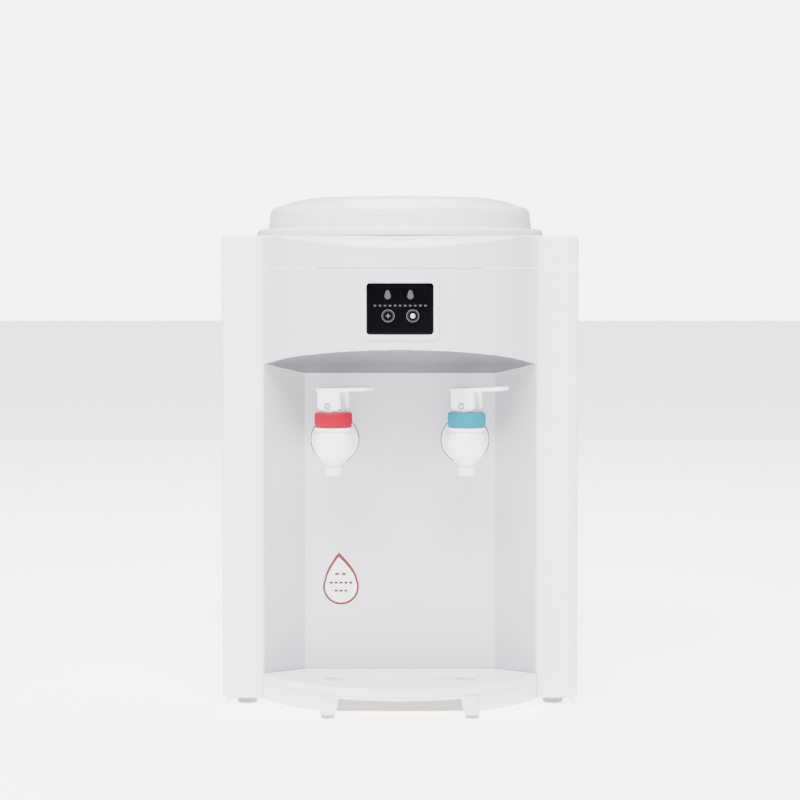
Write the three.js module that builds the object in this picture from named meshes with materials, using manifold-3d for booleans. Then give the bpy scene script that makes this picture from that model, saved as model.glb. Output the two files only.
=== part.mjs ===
// A countertop water dispenser that takes an inverted bottle on top and has a hot and an ambient
// push tap over a drip tray. Millimetres, +Z up, the front faces -Y. The origin is on the floor,
// under the centre of the machine's outline.
import * as THREE from "three";
import { mergeVertices } from "three/addons/utils/BufferGeometryUtils.js";
import Module from "manifold-3d";

const wasm = await Module();
wasm.setup();

// ---- Driving dimensions ------------------------------------------------------------------------
const HALF_WIDTH = 145; // side panel to side panel is 290
const FRONT = -88; // front plane of the two side columns
const BACK = 144; // outer face of the back cover
const BULGE = 62; // how far the bowed front stands ahead of the columns
const COLUMN_INNER = 112; // half the distance between the two columns
const RECESS_BACK = -68; // front face of the dispensing wall
const RECESS_HALF = 78; // half the width of the dispensing wall
const WALL = 2.5; // moulded wall thickness
const SHEET = 1.2; // steel sheet of the back cover
const GAP = 0.3; // joint line between two pieces that meet
const SIDE_BOTTOM = 7; // lower edge of the side panels and the back cover
const CORNER = 5; // outer corner radius of the casing
const FLOOR_UNDER = 5; // underside of the base
const FLOOR_TOP = FLOOR_UNDER + WALL;
const SKIRT_TOP = 18.6; // top of the base's bowed skirt, where the tray's rim sits
const TRAY_TOP = 26;
const SEAM = 355.8; // joint line under the top cover
const TOP = 382.4; // flat top of the casing
const TOP_SLOPE_START = -107; // the bowed part of the top falls away ahead of this line
const TOP_SLOPE = 0.19;
const LIP_HEIGHT = 292.4; // lower edge of the bowed housing, at its foremost point
const LIP_CORNER = 278.9; // height of the same edge where it meets the columns
const CEILING_BACK = 269.9; // height of the recess's ceiling at the dispensing wall
const SEAT_Y = 16; // the bottle seat's axis
const TAP_X = 53.4; // each tap's distance from the middle
const TAP_Y = -108; // the taps' spout axis
const TAP_LIFT = 2.4; // a tap's own heights below are counted from here
const BALL_Z = 213; // centre of a tap's ball
const TAP_AXIS = BALL_Z + TAP_LIFT; // height of the taps' shanks in the dispensing wall
const LEVER_TURN = THREE.MathUtils.degToRad(60); // both levers are swung this far to the right
const LEVER_TILT = THREE.MathUtils.degToRad(2.4); // a lever's handle rises forwards at rest
const PIN_Z = 243.6; // lever pin
const BULGE_RADIUS = (COLUMN_INNER ** 2 + BULGE ** 2) / (2 * BULGE);
const BULGE_CENTRE = FRONT - BULGE + BULGE_RADIUS;

// ---- Materials ---------------------------------------------------------------------------------
const paint = (color, roughness, metalness = 0) =>
  new THREE.MeshStandardMaterial({ color, roughness, metalness });
const SHELL_WHITE = paint(0xeeeef2, 0.35);
const PANEL_WHITE = paint(0xe6e6ea, 0.35);
const TRAY_WHITE = paint(0xf0f0f4, 0.4);
const TAP_WHITE = paint(0xf4f4f0, 0.3);
const HOT_RED = paint(0xf0455a, 0.35);
const COLD_BLUE = paint(0x4fdcec, 0.35);
const BLACK_GLASS = paint(0x0c0c10, 0.1);
const DARK_RUBBER = paint(0x3c3c3c, 0.8);
const SILICONE = paint(0xe4e8ea, 0.5);
const STEEL = paint(0xb8bcc0, 0.3, 0.9);
const FOAM = paint(0xd8d4c4, 0.9);
const BOARD_GREEN = paint(0x1e6b3c, 0.6);
const SWITCH_RED = paint(0xc8202a, 0.35);
const SWITCH_BLACK = paint(0x18181a, 0.5);

// ---- Solids ------------------------------------------------------------------------------------
// A closed geometry as a manifold solid, turned the right way out.
function solid(geometry) {
  const bare = new THREE.BufferGeometry();
  const source = geometry.index ? geometry.toNonIndexed() : geometry;
  bare.setAttribute("position", source.getAttribute("position"));
  const merged = mergeVertices(bare, 1e-3);
  const kept = [];
  const index = merged.index.array;
  for (let i = 0; i < index.length; i += 3) {
    const [a, b, c] = [index[i], index[i + 1], index[i + 2]];
    if (a !== b && b !== c && a !== c) kept.push(a, b, c);
  }
  const build = (corners) =>
    new wasm.Manifold(
      new wasm.Mesh({
        numProp: 3,
        vertProperties: merged.attributes.position.array,
        triVerts: new Uint32Array(corners),
      }),
    );
  const made = build(kept);
  return made.volume() < 0 ? build(kept.reverse()) : made;
}

// A manifold solid as a three.js geometry.
function geometryOf(made) {
  const { numProp, numVert, vertProperties, triVerts } = made.getMesh();
  const points = new Float32Array(numVert * 3);
  for (let i = 0; i < numVert; i++)
    points.set(vertProperties.subarray(i * numProp, i * numProp + 3), i * 3);
  const geometry = new THREE.BufferGeometry();
  geometry.setAttribute("position", new THREE.BufferAttribute(points, 3));
  geometry.setIndex(new THREE.BufferAttribute(triVerts, 1));
  geometry.computeVertexNormals();
  return geometry;
}

function box(x0, x1, y0, y1, z0, z1) {
  const made = new THREE.BoxGeometry(x1 - x0, y1 - y0, z1 - z0);
  return solid(made.translate((x0 + x1) / 2, (y0 + y1) / 2, (z0 + z1) / 2));
}

// A shape drawn in X and Y, raised from z0 to z1.
function prism(shape, z0, z1, curveSegments = 6) {
  const options = { depth: z1 - z0, bevelEnabled: false, curveSegments };
  return solid(new THREE.ExtrudeGeometry(shape, options).translate(0, 0, z0));
}

// A polygon of [y, z] points, stretched along X.
function beamX(points, x0, x1) {
  const shape = new THREE.Shape(points.map(([y, z]) => new THREE.Vector2(y, z)));
  const made = new THREE.ExtrudeGeometry(shape, { depth: x1 - x0, bevelEnabled: false });
  made.rotateY(Math.PI / 2).rotateX(Math.PI / 2);
  return solid(made.translate(x0, 0, 0));
}

// A profile of [radius, height] points turned about the Z axis.
function turned(profile, segments = 20) {
  const points = profile.map(([r, z]) => new THREE.Vector2(r, z));
  return solid(new THREE.LatheGeometry(points, segments).rotateX(Math.PI / 2));
}

function rodZ(radius, z0, z1, segments = 16) {
  const made = new THREE.CylinderGeometry(radius, radius, z1 - z0, segments);
  return solid(made.rotateX(Math.PI / 2).translate(0, 0, (z0 + z1) / 2));
}

function rodY(radius, y0, y1, segments = 16) {
  const made = new THREE.CylinderGeometry(radius, radius, y1 - y0, segments);
  return solid(made.translate(0, (y0 + y1) / 2, 0));
}

function rodX(radius, x0, x1, segments = 12) {
  const made = new THREE.CylinderGeometry(radius, radius, x1 - x0, segments);
  return solid(made.rotateZ(Math.PI / 2).translate((x0 + x1) / 2, 0, 0));
}

// A round tube through points, with an optional bore.
function hose(points, radius, bore, steps) {
  const curve = new THREE.CatmullRomCurve3(points.map((p) => new THREE.Vector3(...p)));
  const section = new THREE.Shape().absarc(0, 0, radius, 0, 2 * Math.PI);
  section.holes.push(new THREE.Path().absarc(0, 0, bore, 0, 2 * Math.PI));
  const options = { steps, extrudePath: curve, bevelEnabled: false, curveSegments: 4 };
  return solid(new THREE.ExtrudeGeometry(section, options));
}

const root = new THREE.Group();

// Adds a named piece to a group.
function add(name, made, material, group = root) {
  const mesh = new THREE.Mesh(geometryOf(made), material);
  mesh.name = name;
  group.add(mesh);
  return mesh;
}

// ---- Outlines seen from above ------------------------------------------------------------------
// The bowed front from right to left, moved inwards by inset.
function bowedFront(path, inset, segments = 18) {
  const radius = BULGE_RADIUS - inset;
  const half = Math.asin(COLUMN_INNER / BULGE_RADIUS);
  for (let i = 0; i <= segments; i++) {
    const angle = half - (2 * half * i) / segments;
    path.lineTo(radius * Math.sin(angle), BULGE_CENTRE - radius * Math.cos(angle));
  }
}

// The whole casing's outline, columns and bowed front.
function casingOutline(inset) {
  const side = HALF_WIDTH - inset;
  const back = BACK - SHEET - GAP - inset;
  const front = FRONT + inset;
  const r = Math.max(CORNER - inset, 1);
  const shape = new THREE.Shape();
  shape.moveTo(-side, back);
  shape.lineTo(side, back);
  shape.lineTo(side, front + r);
  shape.absarc(side - r, front + r, r, 0, -Math.PI / 2, true);
  bowedFront(shape, inset);
  shape.lineTo(-side + r, front);
  shape.absarc(-side + r, front + r, r, -Math.PI / 2, -Math.PI, true);
  shape.closePath();
  return shape;
}

// The bowed front closed by a straight line behind it.
function bowOutline(inset, backLine) {
  const shape = new THREE.Shape();
  shape.moveTo(COLUMN_INNER - inset, backLine);
  bowedFront(shape, inset);
  shape.lineTo(-COLUMN_INNER + inset, backLine);
  shape.closePath();
  return shape;
}

function roundedRect(width, height, r) {
  const [w, h] = [width / 2 - r, height / 2 - r];
  const shape = new THREE.Shape();
  shape.absarc(w, h, r, 0, Math.PI / 2);
  shape.absarc(-w, h, r, Math.PI / 2, Math.PI);
  shape.absarc(-w, -h, r, Math.PI, 1.5 * Math.PI);
  shape.absarc(w, -h, r, 1.5 * Math.PI, 2 * Math.PI);
  return shape;
}

// ---- Casing ------------------------------------------------------------------------------------
const SLOT_HALF = 50; // half the width of the finger slot in the base's skirt
const SLOT_TOP = 16.2;
const SLOT_WALL = -134; // face of the wall at the back of the finger slot
const PILLAR_X = 57.3;
const PILLAR_Y = -134;
const PILLAR_RADIUS = 6;

function makeBase() {
  const inner = HALF_WIDTH - WALL - GAP;
  const front = FRONT + WALL + 1.5;
  const floor = box(-inner, inner, front, BACK - SHEET - GAP, FLOOR_UNDER, FLOOR_TOP);
  const bow = prism(bowOutline(0, FRONT + WALL + 2), FLOOR_UNDER, FLOOR_TOP);
  const reach = COLUMN_INNER - 0.1;
  const keep = box(-reach, reach, -200, front + 0.5, -10, 100);
  const ahead = box(-reach, reach, -200, FRONT - GAP, -10, 100);
  const skirt = prism(bowOutline(0, FRONT + 1), FLOOR_TOP - 1, SKIRT_TOP)
    .subtract(prism(bowOutline(WALL, FRONT + 5), 0, SKIRT_TOP + 1))
    .intersect(ahead);
  const around = SLOT_HALF + WALL;
  const slotBlock = box(-around, around, SLOT_WALL - 14, SLOT_WALL + WALL, FLOOR_UNDER, 17.5)
    .intersect(prism(bowOutline(1, FRONT + 6), FLOOR_UNDER, SKIRT_TOP));
  const slot = box(-SLOT_HALF, SLOT_HALF, -200, SLOT_WALL, -10, SLOT_TOP);
  let made = floor.add(bow.intersect(keep)).add(skirt).add(slotBlock).subtract(slot);
  for (const side of [-1, 1]) {
    const pillar = rodZ(PILLAR_RADIUS, 3, SKIRT_TOP - 1).translate(side * PILLAR_X, PILLAR_Y, 0);
    made = made.add(pillar);
  }
  // A wall round the floor's edge locates the side panels and the back cover.
  const rimOuter = box(-inner, inner, front, BACK - SHEET - GAP, FLOOR_TOP - 1, 15);
  const rimInner = box(-inner + WALL, inner - WALL, FRONT - 60, BACK - SHEET - GAP - WALL, 0, 20);
  return made.add(rimOuter.subtract(rimInner));
}

function makeSidePanel(side) {
  const z0 = SIDE_BOTTOM;
  const z1 = SEAM - GAP;
  const outline = casingOutline(0);
  const shell = prism(outline, z0, z1).subtract(prism(casingOutline(WALL), z0 - 1, z1 + 1));
  const edge = COLUMN_INNER + GAP + 0.1;
  const half = box(edge, HALF_WIDTH + 1, FRONT - 1, BACK - SHEET - GAP - WALL - GAP, 0, 400);
  // A flange turned in along the back edge takes the back cover's screws.
  const flange = box(edge + 16, HALF_WIDTH, BACK - SHEET - 2 * GAP - WALL, BACK - SHEET - GAP, 16, z1);
  const made = shell.intersect(half).add(flange);
  return side > 0 ? made : made.mirror([1, 0, 0]);
}

const SCREW_X = 134;
const SCREW_Z = [30, 330];
const SWITCH = { x: 95, z: 300, width: 21, height: 15 };
const GLAND = { x: 95, z: 40, radius: 5 };
const DRAIN = { x: 0, z: 40, radius: 8 };

function makeBackCover() {
  const half = HALF_WIDTH - GAP;
  let made = box(-half, half, BACK - SHEET, BACK, SIDE_BOTTOM, SEAM - GAP);
  const slotRows = 9;
  const pitch = 12;
  for (const side of [-1, 1])
    for (let row = 0; row < slotRows; row++) {
      const x = side * 48;
      const z = 120 + row * pitch;
      made = made.subtract(box(x - 32, x + 32, BACK - 4, BACK + 1, z, z + 4));
    }
  const { x, z, width, height } = SWITCH;
  made = made.subtract(
    box(x - width / 2, x + width / 2, BACK - 4, BACK + 1, z - height / 2, z + height / 2),
  );
  made = made.subtract(rodY(GLAND.radius + GAP, BACK - 4, BACK + 1, 16).translate(GLAND.x, 0, GLAND.z));
  made = made.subtract(rodY(DRAIN.radius + GAP, BACK - 4, BACK + 1, 16).translate(DRAIN.x, 0, DRAIN.z));
  for (const side of [-1, 1])
    for (const height of SCREW_Z)
      made = made.subtract(rodY(2.2, BACK - 4, BACK + 1, 10).translate(side * SCREW_X, 0, height));
  return made;
}

function makeTopCover() {
  const falls = (start, height) =>
    beamX(
      [
        [start, height],
        [-190, height + TOP_SLOPE * (-190 - start)],
        [-190, height + 60],
        [start, height + 60],
      ],
      -200,
      200,
    );
  const outer = prism(casingOutline(0), SEAM + GAP, TOP).subtract(falls(TOP_SLOPE_START, TOP));
  const inner = prism(casingOutline(WALL), SEAM - 5, TOP - WALL).subtract(
    falls(TOP_SLOPE_START, TOP - WALL),
  );
  return outer.subtract(inner).subtract(rodZ(104, SEAM, TOP + 5, 40).translate(0, SEAT_Y, 0));
}

const DISPLAY = { z: 324.2, width: 52, height: 40, bezelWidth: 62, bezelHeight: 49 };
const LIP_FRONT = FRONT - BULGE;

// Everything under the sloping ceiling of the recess, moved up by lift.
function underCeiling(lift) {
  const housingSlope = (LIP_HEIGHT - LIP_CORNER) / BULGE;
  const backSlope = (LIP_CORNER - CEILING_BACK) / (RECESS_BACK - FRONT);
  const ahead = (y) => LIP_HEIGHT - housingSlope * (y - LIP_FRONT) + lift;
  const behind = (y) => LIP_CORNER - backSlope * (y - FRONT) + lift;
  return beamX(
    [
      [-200, -10],
      [0, -10],
      [0, behind(0)],
      [FRONT, LIP_CORNER + lift],
      [-200, ahead(-200)],
    ],
    -200,
    200,
  );
}

// The recess seen from above: open in front, narrowing to the dispensing wall.
function recessOutline(grow) {
  const lean = Math.hypot(COLUMN_INNER - RECESS_HALF, RECESS_BACK - FRONT);
  const shift = (grow * lean) / (RECESS_BACK - FRONT);
  const slope = (COLUMN_INNER - RECESS_HALF) / (RECESS_BACK - FRONT);
  const back = RECESS_BACK + grow;
  const atBack = COLUMN_INNER - slope * (back - FRONT) + shift;
  const atFront = COLUMN_INNER + slope * 100 + shift;
  return new THREE.Shape([
    new THREE.Vector2(-atFront, FRONT - 100),
    new THREE.Vector2(atFront, FRONT - 100),
    new THREE.Vector2(atBack, back),
    new THREE.Vector2(-atBack, back),
  ]);
}

function makeFrontPanel() {
  const z0 = FLOOR_TOP + GAP;
  const z1 = SEAM - GAP;
  const backLine = -40;
  const outside = prism(bowOutline(0, backLine), z0, z1);
  const recess = prism(recessOutline(0), -10, 400).intersect(underCeiling(0));
  const inside = prism(bowOutline(WALL, backLine + 10), 0, 400);
  const recessSkin = prism(recessOutline(WALL), -10, 400).intersect(underCeiling(WALL));
  const hollow = inside.subtract(recessSkin);
  const clip = box(-COLUMN_INNER + 0.1, COLUMN_INNER - 0.1, -200, backLine - 12, 0, 400);
  let made = outside.subtract(recess).subtract(hollow).intersect(clip);
  for (const side of [-1, 1]) {
    const x = side * TAP_X;
    made = made.subtract(rodY(20.4, RECESS_BACK - 20, RECESS_BACK + 1, 36).translate(x, 0, TAP_AXIS));
    made = made.subtract(rodY(8.6, RECESS_BACK - 5, RECESS_BACK + 10, 20).translate(x, 0, TAP_AXIS));
  }
  const { z, width, height } = DISPLAY;
  const window = box(-width / 2 - 1, width / 2 + 1, -170, -130, z - height / 2 - 1, z + height / 2 + 1);
  return made.subtract(window);
}

// A rounded rectangle in X and Z, bent to the bowed front between two distances from it.
function bowedPlate(width, height, r, stands, depth, z) {
  const outline = roundedRect(width, height, r);
  const slab = new THREE.ExtrudeGeometry(outline, { depth: 60, bevelEnabled: false, curveSegments: 4 });
  slab.rotateX(Math.PI / 2).translate(0, -110, z);
  const band = (inset) => prism(bowOutline(inset, FRONT + 8), z - 60, z + 60);
  return solid(slab).intersect(band(-stands)).subtract(band(depth - stands));
}

function makeDisplay() {
  const { z, width, height, bezelWidth, bezelHeight } = DISPLAY;
  const bezel = bowedPlate(bezelWidth, bezelHeight, 5, 1.5, 1.2, z).subtract(
    bowedPlate(width + 0.6, height + 0.6, 3, 5, 12, z),
  );
  add("display_bezel", bezel, PANEL_WHITE);
  add("display_window", bowedPlate(width, height, 2.7, 0.9, 2.4, z), BLACK_GLASS);
  const board = box(-28, 28, -139.5, -137.9, z - 21, z + 21);
  const lamps = [-9, 9].map((x) => rodY(2.5, -143.5, -139, 12).translate(x, 0, z - 4));
  add("indicator_board", board.add(lamps[0]).add(lamps[1]), BOARD_GREEN);
}

// ---- Bottle seat and water circuit -------------------------------------------------------------
function makeSeat() {
  const profile = [
    [122, TOP + GAP],
    [122, 387.2],
    [120.5, 388.9],
    [112.3, 388.9],
    [111.2, 402],
    [110.2, 404.4],
    [108.2, 406.8],
    [92, 412.2],
    [80, 414.9],
    [76, 415.4],
    [72.5, 413.6],
    [60, 399],
    [45, 389],
    [34, 384],
    [34, 352.5],
    [9, 352.5],
    [9, 350],
    [36.5, 350],
    [36.5, 382.5],
    [61.5, 396.8],
    [69, 405],
    [69, 350.6],
    [71.5, 350.6],
    [71.5, 409.5],
    [76, 412.4],
    [107, 403.9],
    [109.6, 386.2],
    [103, 386.2],
    [103, TOP - 6],
    [100.5, TOP - 6],
    [100.5, 384],
    [110, TOP + GAP],
  ];
  return turned([...profile, profile[0]], 40).translate(0, SEAT_Y, 0);
}

function makeProbe() {
  const profile = [
    [0, 342],
    [8.4, 342],
    [8.4, 352.8],
    [16, 352.8],
    [16, 355],
    [8, 357],
    [7, 390],
    [3, 397],
    [0, 398],
  ];
  const channel = rodX(2.5, -20, 20, 10).translate(0, 0, 384);
  const bore = rodZ(3.5, 340, 384, 12);
  return turned(profile, 16).subtract(channel).subtract(bore).translate(0, SEAT_Y, 0);
}

const RESERVOIR = { radius: 75, floor: 276, rim: 347 };
const HOT = { x: -25, y: 50, radius: 46, z0: 118, z1: 232, foam: 7 };
const HOSE = { radius: 5.8, bore: 4 };
const NIPPLE = 6; // length of a hose nipple
const SHANK_END = -46; // back end of a tap's threaded shank
const COLD_OUTLET = { x: 40, y: 20 };
const FEED_OUTLET = { x: HOT.x, y: HOT.y };

function makeReservoir() {
  const { radius, floor, rim } = RESERVOIR;
  const profile = [
    [0, floor],
    [radius, floor],
    [radius, rim],
    [radius - WALL, rim],
    [radius - WALL, floor + WALL],
    [0, floor + WALL],
  ];
  let made = turned(profile, 32).translate(0, SEAT_Y, 0);
  for (const { x, y } of [COLD_OUTLET, FEED_OUTLET]) {
    const nipple = rodZ(3.2, floor - NIPPLE, floor + 1, 12).translate(x, y, 0);
    const bore = rodZ(2, floor - 14, floor + 8, 12).translate(x, y, 0);
    made = made.add(nipple).subtract(bore);
  }
  return made;
}

function makeHotTank() {
  const { x, y, radius, z0, z1 } = HOT;
  const wall = 1;
  const profile = [
    [0, z0],
    [radius - 4, z0],
    [radius, z0 + 4],
    [radius, z1 - 4],
    [radius - 4, z1],
    [0, z1],
  ];
  const inside = [
    [0, z0 + wall],
    [radius - 5, z0 + wall],
    [radius - wall, z0 + 5],
    [radius - wall, z1 - 5],
    [radius - 5, z1 - wall],
    [0, z1 - wall],
  ];
  let made = turned(profile, 28);
  const feed = rodZ(3.2, z1 - 2, z1 + NIPPLE, 12);
  const hotOut = rodZ(3.2, z1 - 2, z1 + NIPPLE, 12).translate(-24, -14, 0);
  const drain = rodZ(3.2, z0 - NIPPLE, z0 + 2, 12).translate(18, 18, 0);
  made = made.add(feed).add(hotOut).add(drain).subtract(turned(inside, 28));
  for (const [dx, dy] of [[0, 0], [-24, -14]])
    made = made.subtract(rodZ(2, z1 - 8, z1 + 14, 12).translate(dx, dy, 0));
  return made.subtract(rodZ(2, z0 - 14, z0 + 8, 12).translate(18, 18, 0)).translate(x, y, 0);
}

function makeJacket() {
  const { x, y, radius, z0, z1, foam } = HOT;
  const inner = radius + 0.5;
  const outer = radius + foam;
  const sleeve = [
    [inner, z0 + 2],
    [outer, z0 + 2],
    [outer, z1 - 2],
    [inner, z1 - 2],
    [inner, z0 + 2],
  ];
  const plate = box(-16, 16, radius - 2, radius + foam + 5, 150, 200);
  return turned(sleeve, 28).subtract(plate).translate(x, y, 0);
}

// The band of the heating element round the tank's foot, below the jacket.
function makeHeater() {
  const { x, y, radius, z0 } = HOT;
  const ring = [
    [radius - 16, z0 - 7],
    [radius - 8, z0 - 7],
    [radius - 8, z0 - GAP],
    [radius - 16, z0 - GAP],
    [radius - 16, z0 - 7],
  ];
  const gapForDrain = box(12, 50, 10, 30, z0 - 20, z0 + 5);
  return turned(ring, 28).subtract(gapForDrain).translate(x, y, 0);
}

function makeThermostat(z) {
  const { x, y, radius } = HOT;
  const can = rodY(8, radius + GAP, radius + 7, 16);
  const cap = rodY(6.5, radius + 6.5, radius + 12, 16);
  const tabs = box(-7, 7, radius + 11, radius + 18, -0.5, 0.5).subtract(
    box(-4, 4, radius + 12.5, radius + 19, -1, 1),
  );
  return can.add(cap).add(tabs).translate(x, y, z);
}

function makeHoses() {
  const { radius, bore } = HOSE;
  const under = RESERVOIR.floor - 1;
  const overTank = HOT.z1 + 1;
  const [hotX, hotY] = [HOT.x - 24, HOT.y - 14];
  const [drainX, drainY] = [HOT.x + 18, HOT.y + 18];
  const cold = [
    [COLD_OUTLET.x, COLD_OUTLET.y, under],
    [COLD_OUTLET.x, COLD_OUTLET.y, under - 5],
    [COLD_OUTLET.x, COLD_OUTLET.y, under - 10],
    [COLD_OUTLET.x + 5, COLD_OUTLET.y - 6, 240],
    ...shankEnd(1),
  ];
  const feed = [
    [HOT.x, HOT.y, under],
    [HOT.x, HOT.y, overTank],
  ];
  const hot = [
    [hotX, hotY, overTank],
    [hotX, hotY, overTank + 5],
    [hotX, hotY, overTank + 9],
    [hotX - 3, hotY - 40, overTank + 12],
    ...shankEnd(-1),
  ];
  const drain = [
    [drainX, drainY, HOT.z0 - 1],
    [drainX, drainY, HOT.z0 - 5],
    [drainX, drainY, HOT.z0 - 10],
    [-4, 74, 70],
    [DRAIN.x, 90, 44],
    [DRAIN.x, 104, DRAIN.z],
    [DRAIN.x, 114, DRAIN.z],
    [DRAIN.x, 126, DRAIN.z],
  ];
  add("cold_hose", hose(cold, radius, bore, 18), SILICONE);
  add("feed_hose", hose(feed, radius, bore, 1), SILICONE);
  add("hot_hose", hose(hot, radius, bore, 18), SILICONE);
  add("drain_hose", hose(drain, radius, bore, 16), SILICONE);
}

// A tap hose's last stretch, straight on to the nipple behind the tap's shank.
function shankEnd(side) {
  return [
    [side * TAP_X, -8, TAP_AXIS + 3],
    [side * TAP_X, -24, TAP_AXIS],
    [side * TAP_X, SHANK_END + 11, TAP_AXIS],
    [side * TAP_X, SHANK_END + 1, TAP_AXIS],
  ];
}

// ---- Taps --------------------------------------------------------------------------------------
const PLUG_SEAT = 209.8; // the valve plug's foot, just above the mouth of the spout's bore
const TAP = { collarRadius: 15.25, collarBottom: 226.4, collarTop: 238.4, spoutBottom: 187.7 };

function makeTapBody() {
  const r = 16.3;
  const ball = [];
  const [low, high] = [Math.asin(-12.2 / r), Math.asin(9.4 / r)];
  const rings = 6;
  for (let i = 0; i <= rings; i++) {
    const angle = low + ((high - low) * i) / rings;
    ball.push([r * Math.cos(angle), BALL_Z + r * Math.sin(angle)]);
  }
  const profile = [
    [0, TAP.spoutBottom],
    [6.6, TAP.spoutBottom],
    [7.2, TAP.spoutBottom + 1],
    [7.2, 195],
    [8, 198],
    [10.2, 198.2],
    [10.2, 200.8],
    ...ball,
    [TAP.collarRadius - 0.4, 223.6],
    [TAP.collarRadius - 0.4, TAP.collarBottom - GAP],
    [13, TAP.collarBottom - GAP],
    [11.4, TAP.collarBottom - GAP],
    [11.4, 235],
    [0, 235],
  ];
  const neck = rodY(9.5, 0, RECESS_BACK - TAP_Y - 4.5);
  const shank = rodY(7.8, 0, SHANK_END - TAP_Y);
  const nipple = rodY(3.2, SHANK_END - TAP_Y - 1, SHANK_END - TAP_Y + NIPPLE, 12);
  return turned(profile, 24)
    .add(neck.add(shank).add(nipple).translate(0, 0, BALL_Z))
    .subtract(rodZ(4.2, 180, PLUG_SEAT + 1, 12))
    .subtract(rodZ(9.4, PLUG_SEAT - GAP, 240, 20))
    .subtract(rodY(2, 0, 100, 8).translate(0, 0, BALL_Z));
}

function makeCollar() {
  const r = TAP.collarRadius;
  const z0 = TAP.collarBottom;
  const z1 = TAP.collarTop;
  const profile = [
    [11.8, z0],
    [r, z0],
    [r, z1 - 1.5],
    [r - 1.5, z1],
    [4, z1],
    [4, z1 - 2.2],
    [11.8, z1 - 2.2],
    [11.8, z0],
  ];
  return turned(profile, 24);
}

function makeStem() {
  const body = [
    [0, 222],
    [3.2, 222],
    [3.2, 226],
    [7.6, 226],
    [7.6, 228],
    [3.2, 228],
    [3.2, PIN_Z + 4.5],
    [0, PIN_Z + 4.5],
  ];
  return turned(body, 16).subtract(rodX(1.8, -10, 10, 12).translate(0, 0, PIN_Z));
}

function makePlug() {
  const profile = [
    [0, PLUG_SEAT],
    [4.5, PLUG_SEAT],
    [7, PLUG_SEAT + 3],
    [7, PLUG_SEAT + 6],
    [4, 225.6],
    [3.5, 225.6],
    [3.5, 221.7],
    [0, 221.7],
  ];
  return turned(profile, 16);
}

const LEVER = {
  width: 18,
  back: 12.8,
  front: 34.5,
  plateZ: 255.2,
  thickness: 3,
  forkBack: 9.7,
  forkFront: 10,
  cheek: 5,
};

// A lever that points along -Y: a flat handle on a fork that straddles the stem.
function makeLever() {
  const { width, back, front, plateZ, thickness, forkBack, forkFront, cheek } = LEVER;
  const forkBottom = TAP.collarTop + 1.3;
  const outline = roundedRect(width, front + back, 4);
  const plate = prism(outline, 0, thickness, 4).translate(0, (back - front) / 2, 0);
  const handle = plate.rotate([-THREE.MathUtils.radToDeg(LEVER_TILT), 0, 0]).translate(0, 0, plateZ);
  const profile = [
    [forkBack, forkBottom + 3],
    [forkBack, plateZ + 1],
    [-forkFront + 1, plateZ + 1.5],
    [-forkFront, forkBottom + 2],
    [-forkFront + 2, forkBottom],
    [forkBack - 3, forkBottom],
  ];
  const fork = beamX(profile, -width / 2, width / 2);
  const gap = box(-width / 2 + cheek, width / 2 - cheek, -30, 30, forkBottom - 1, plateZ - 1.2);
  return handle
    .add(fork.subtract(gap))
    .subtract(rodX(1.8, -20, 20, 12).translate(0, 0, PIN_Z));
}

function makeTap(name, x, colour) {
  const tap = new THREE.Group();
  tap.position.set(x, TAP_Y, TAP_LIFT);
  root.add(tap);
  add(`${name}_tap_body`, makeTapBody(), TAP_WHITE, tap);
  add(`${name}_tap_collar`, makeCollar(), colour, tap);
  const rearFace = RECESS_BACK - TAP_Y;
  const escutcheon = rodY(19.3, rearFace - 2, rearFace + 0.7, 36).subtract(
    rodY(8.2, 0, 60, 20),
  );
  add(`${name}_tap_escutcheon`, escutcheon.translate(0, 0, BALL_Z), TAP_WHITE, tap);
  const nut = rodY(13, rearFace + WALL + GAP, rearFace + WALL + 7, 6).subtract(rodY(8.1, 0, 90, 20));
  add(`${name}_tap_nut`, nut.translate(0, 0, BALL_Z), TAP_WHITE, tap);
  const swivel = new THREE.Group();
  swivel.rotation.z = LEVER_TURN;
  tap.add(swivel);
  const washer = rodZ(9.4, TAP.collarTop + GAP, TAP.collarTop + 1).subtract(rodZ(3.8, 230, 250));
  add(`${name}_lever_washer`, washer, TAP_WHITE, swivel);
  add(`${name}_tap_stem`, makeStem(), TAP_WHITE, swivel);
  add(`${name}_valve_plug`, makePlug(), SILICONE, swivel);
  const pin = rodX(1.5, -LEVER.width / 2 - 0.2, LEVER.width / 2 + 0.2, 12);
  add(`${name}_lever_pin`, pin.translate(0, 0, PIN_Z), STEEL, swivel);
  add(`${name}_lever`, makeLever(), TAP_WHITE, swivel);
}

// ---- Drip tray ---------------------------------------------------------------------------------
const TRAY = { rim: 4, slack: 0.6, dishBottom: 9.5, dishFront: -122.5 };
const GRILLE_TOP = 24.8;

// The tray fills the floor of the recess and follows the bowed front, moved inwards by inset.
function traySolid(inset, z0, z1) {
  const between = prism(recessOutline(-TRAY.slack - inset), z0 - 1, z1 + 1);
  return prism(bowOutline(inset, RECESS_BACK + 20), z0, z1).intersect(between);
}

function makeTray() {
  const rim = traySolid(0, SKIRT_TOP + GAP, TRAY_TOP);
  const dishKeep = box(-94, 94, TRAY.dishFront, -60, 0, 40);
  const dish = traySolid(WALL + 1, TRAY.dishBottom, SKIRT_TOP + 1).intersect(dishKeep);
  const hollowKeep = box(-91.5, 91.5, TRAY.dishFront + WALL, -60, 0, 60);
  const hollow = traySolid(2 * WALL + 1, TRAY.dishBottom + WALL, 40).intersect(hollowKeep);
  return rim.add(dish).subtract(hollow).subtract(traySolid(TRAY.rim, GRILLE_TOP - 2.4, 40));
}

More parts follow.
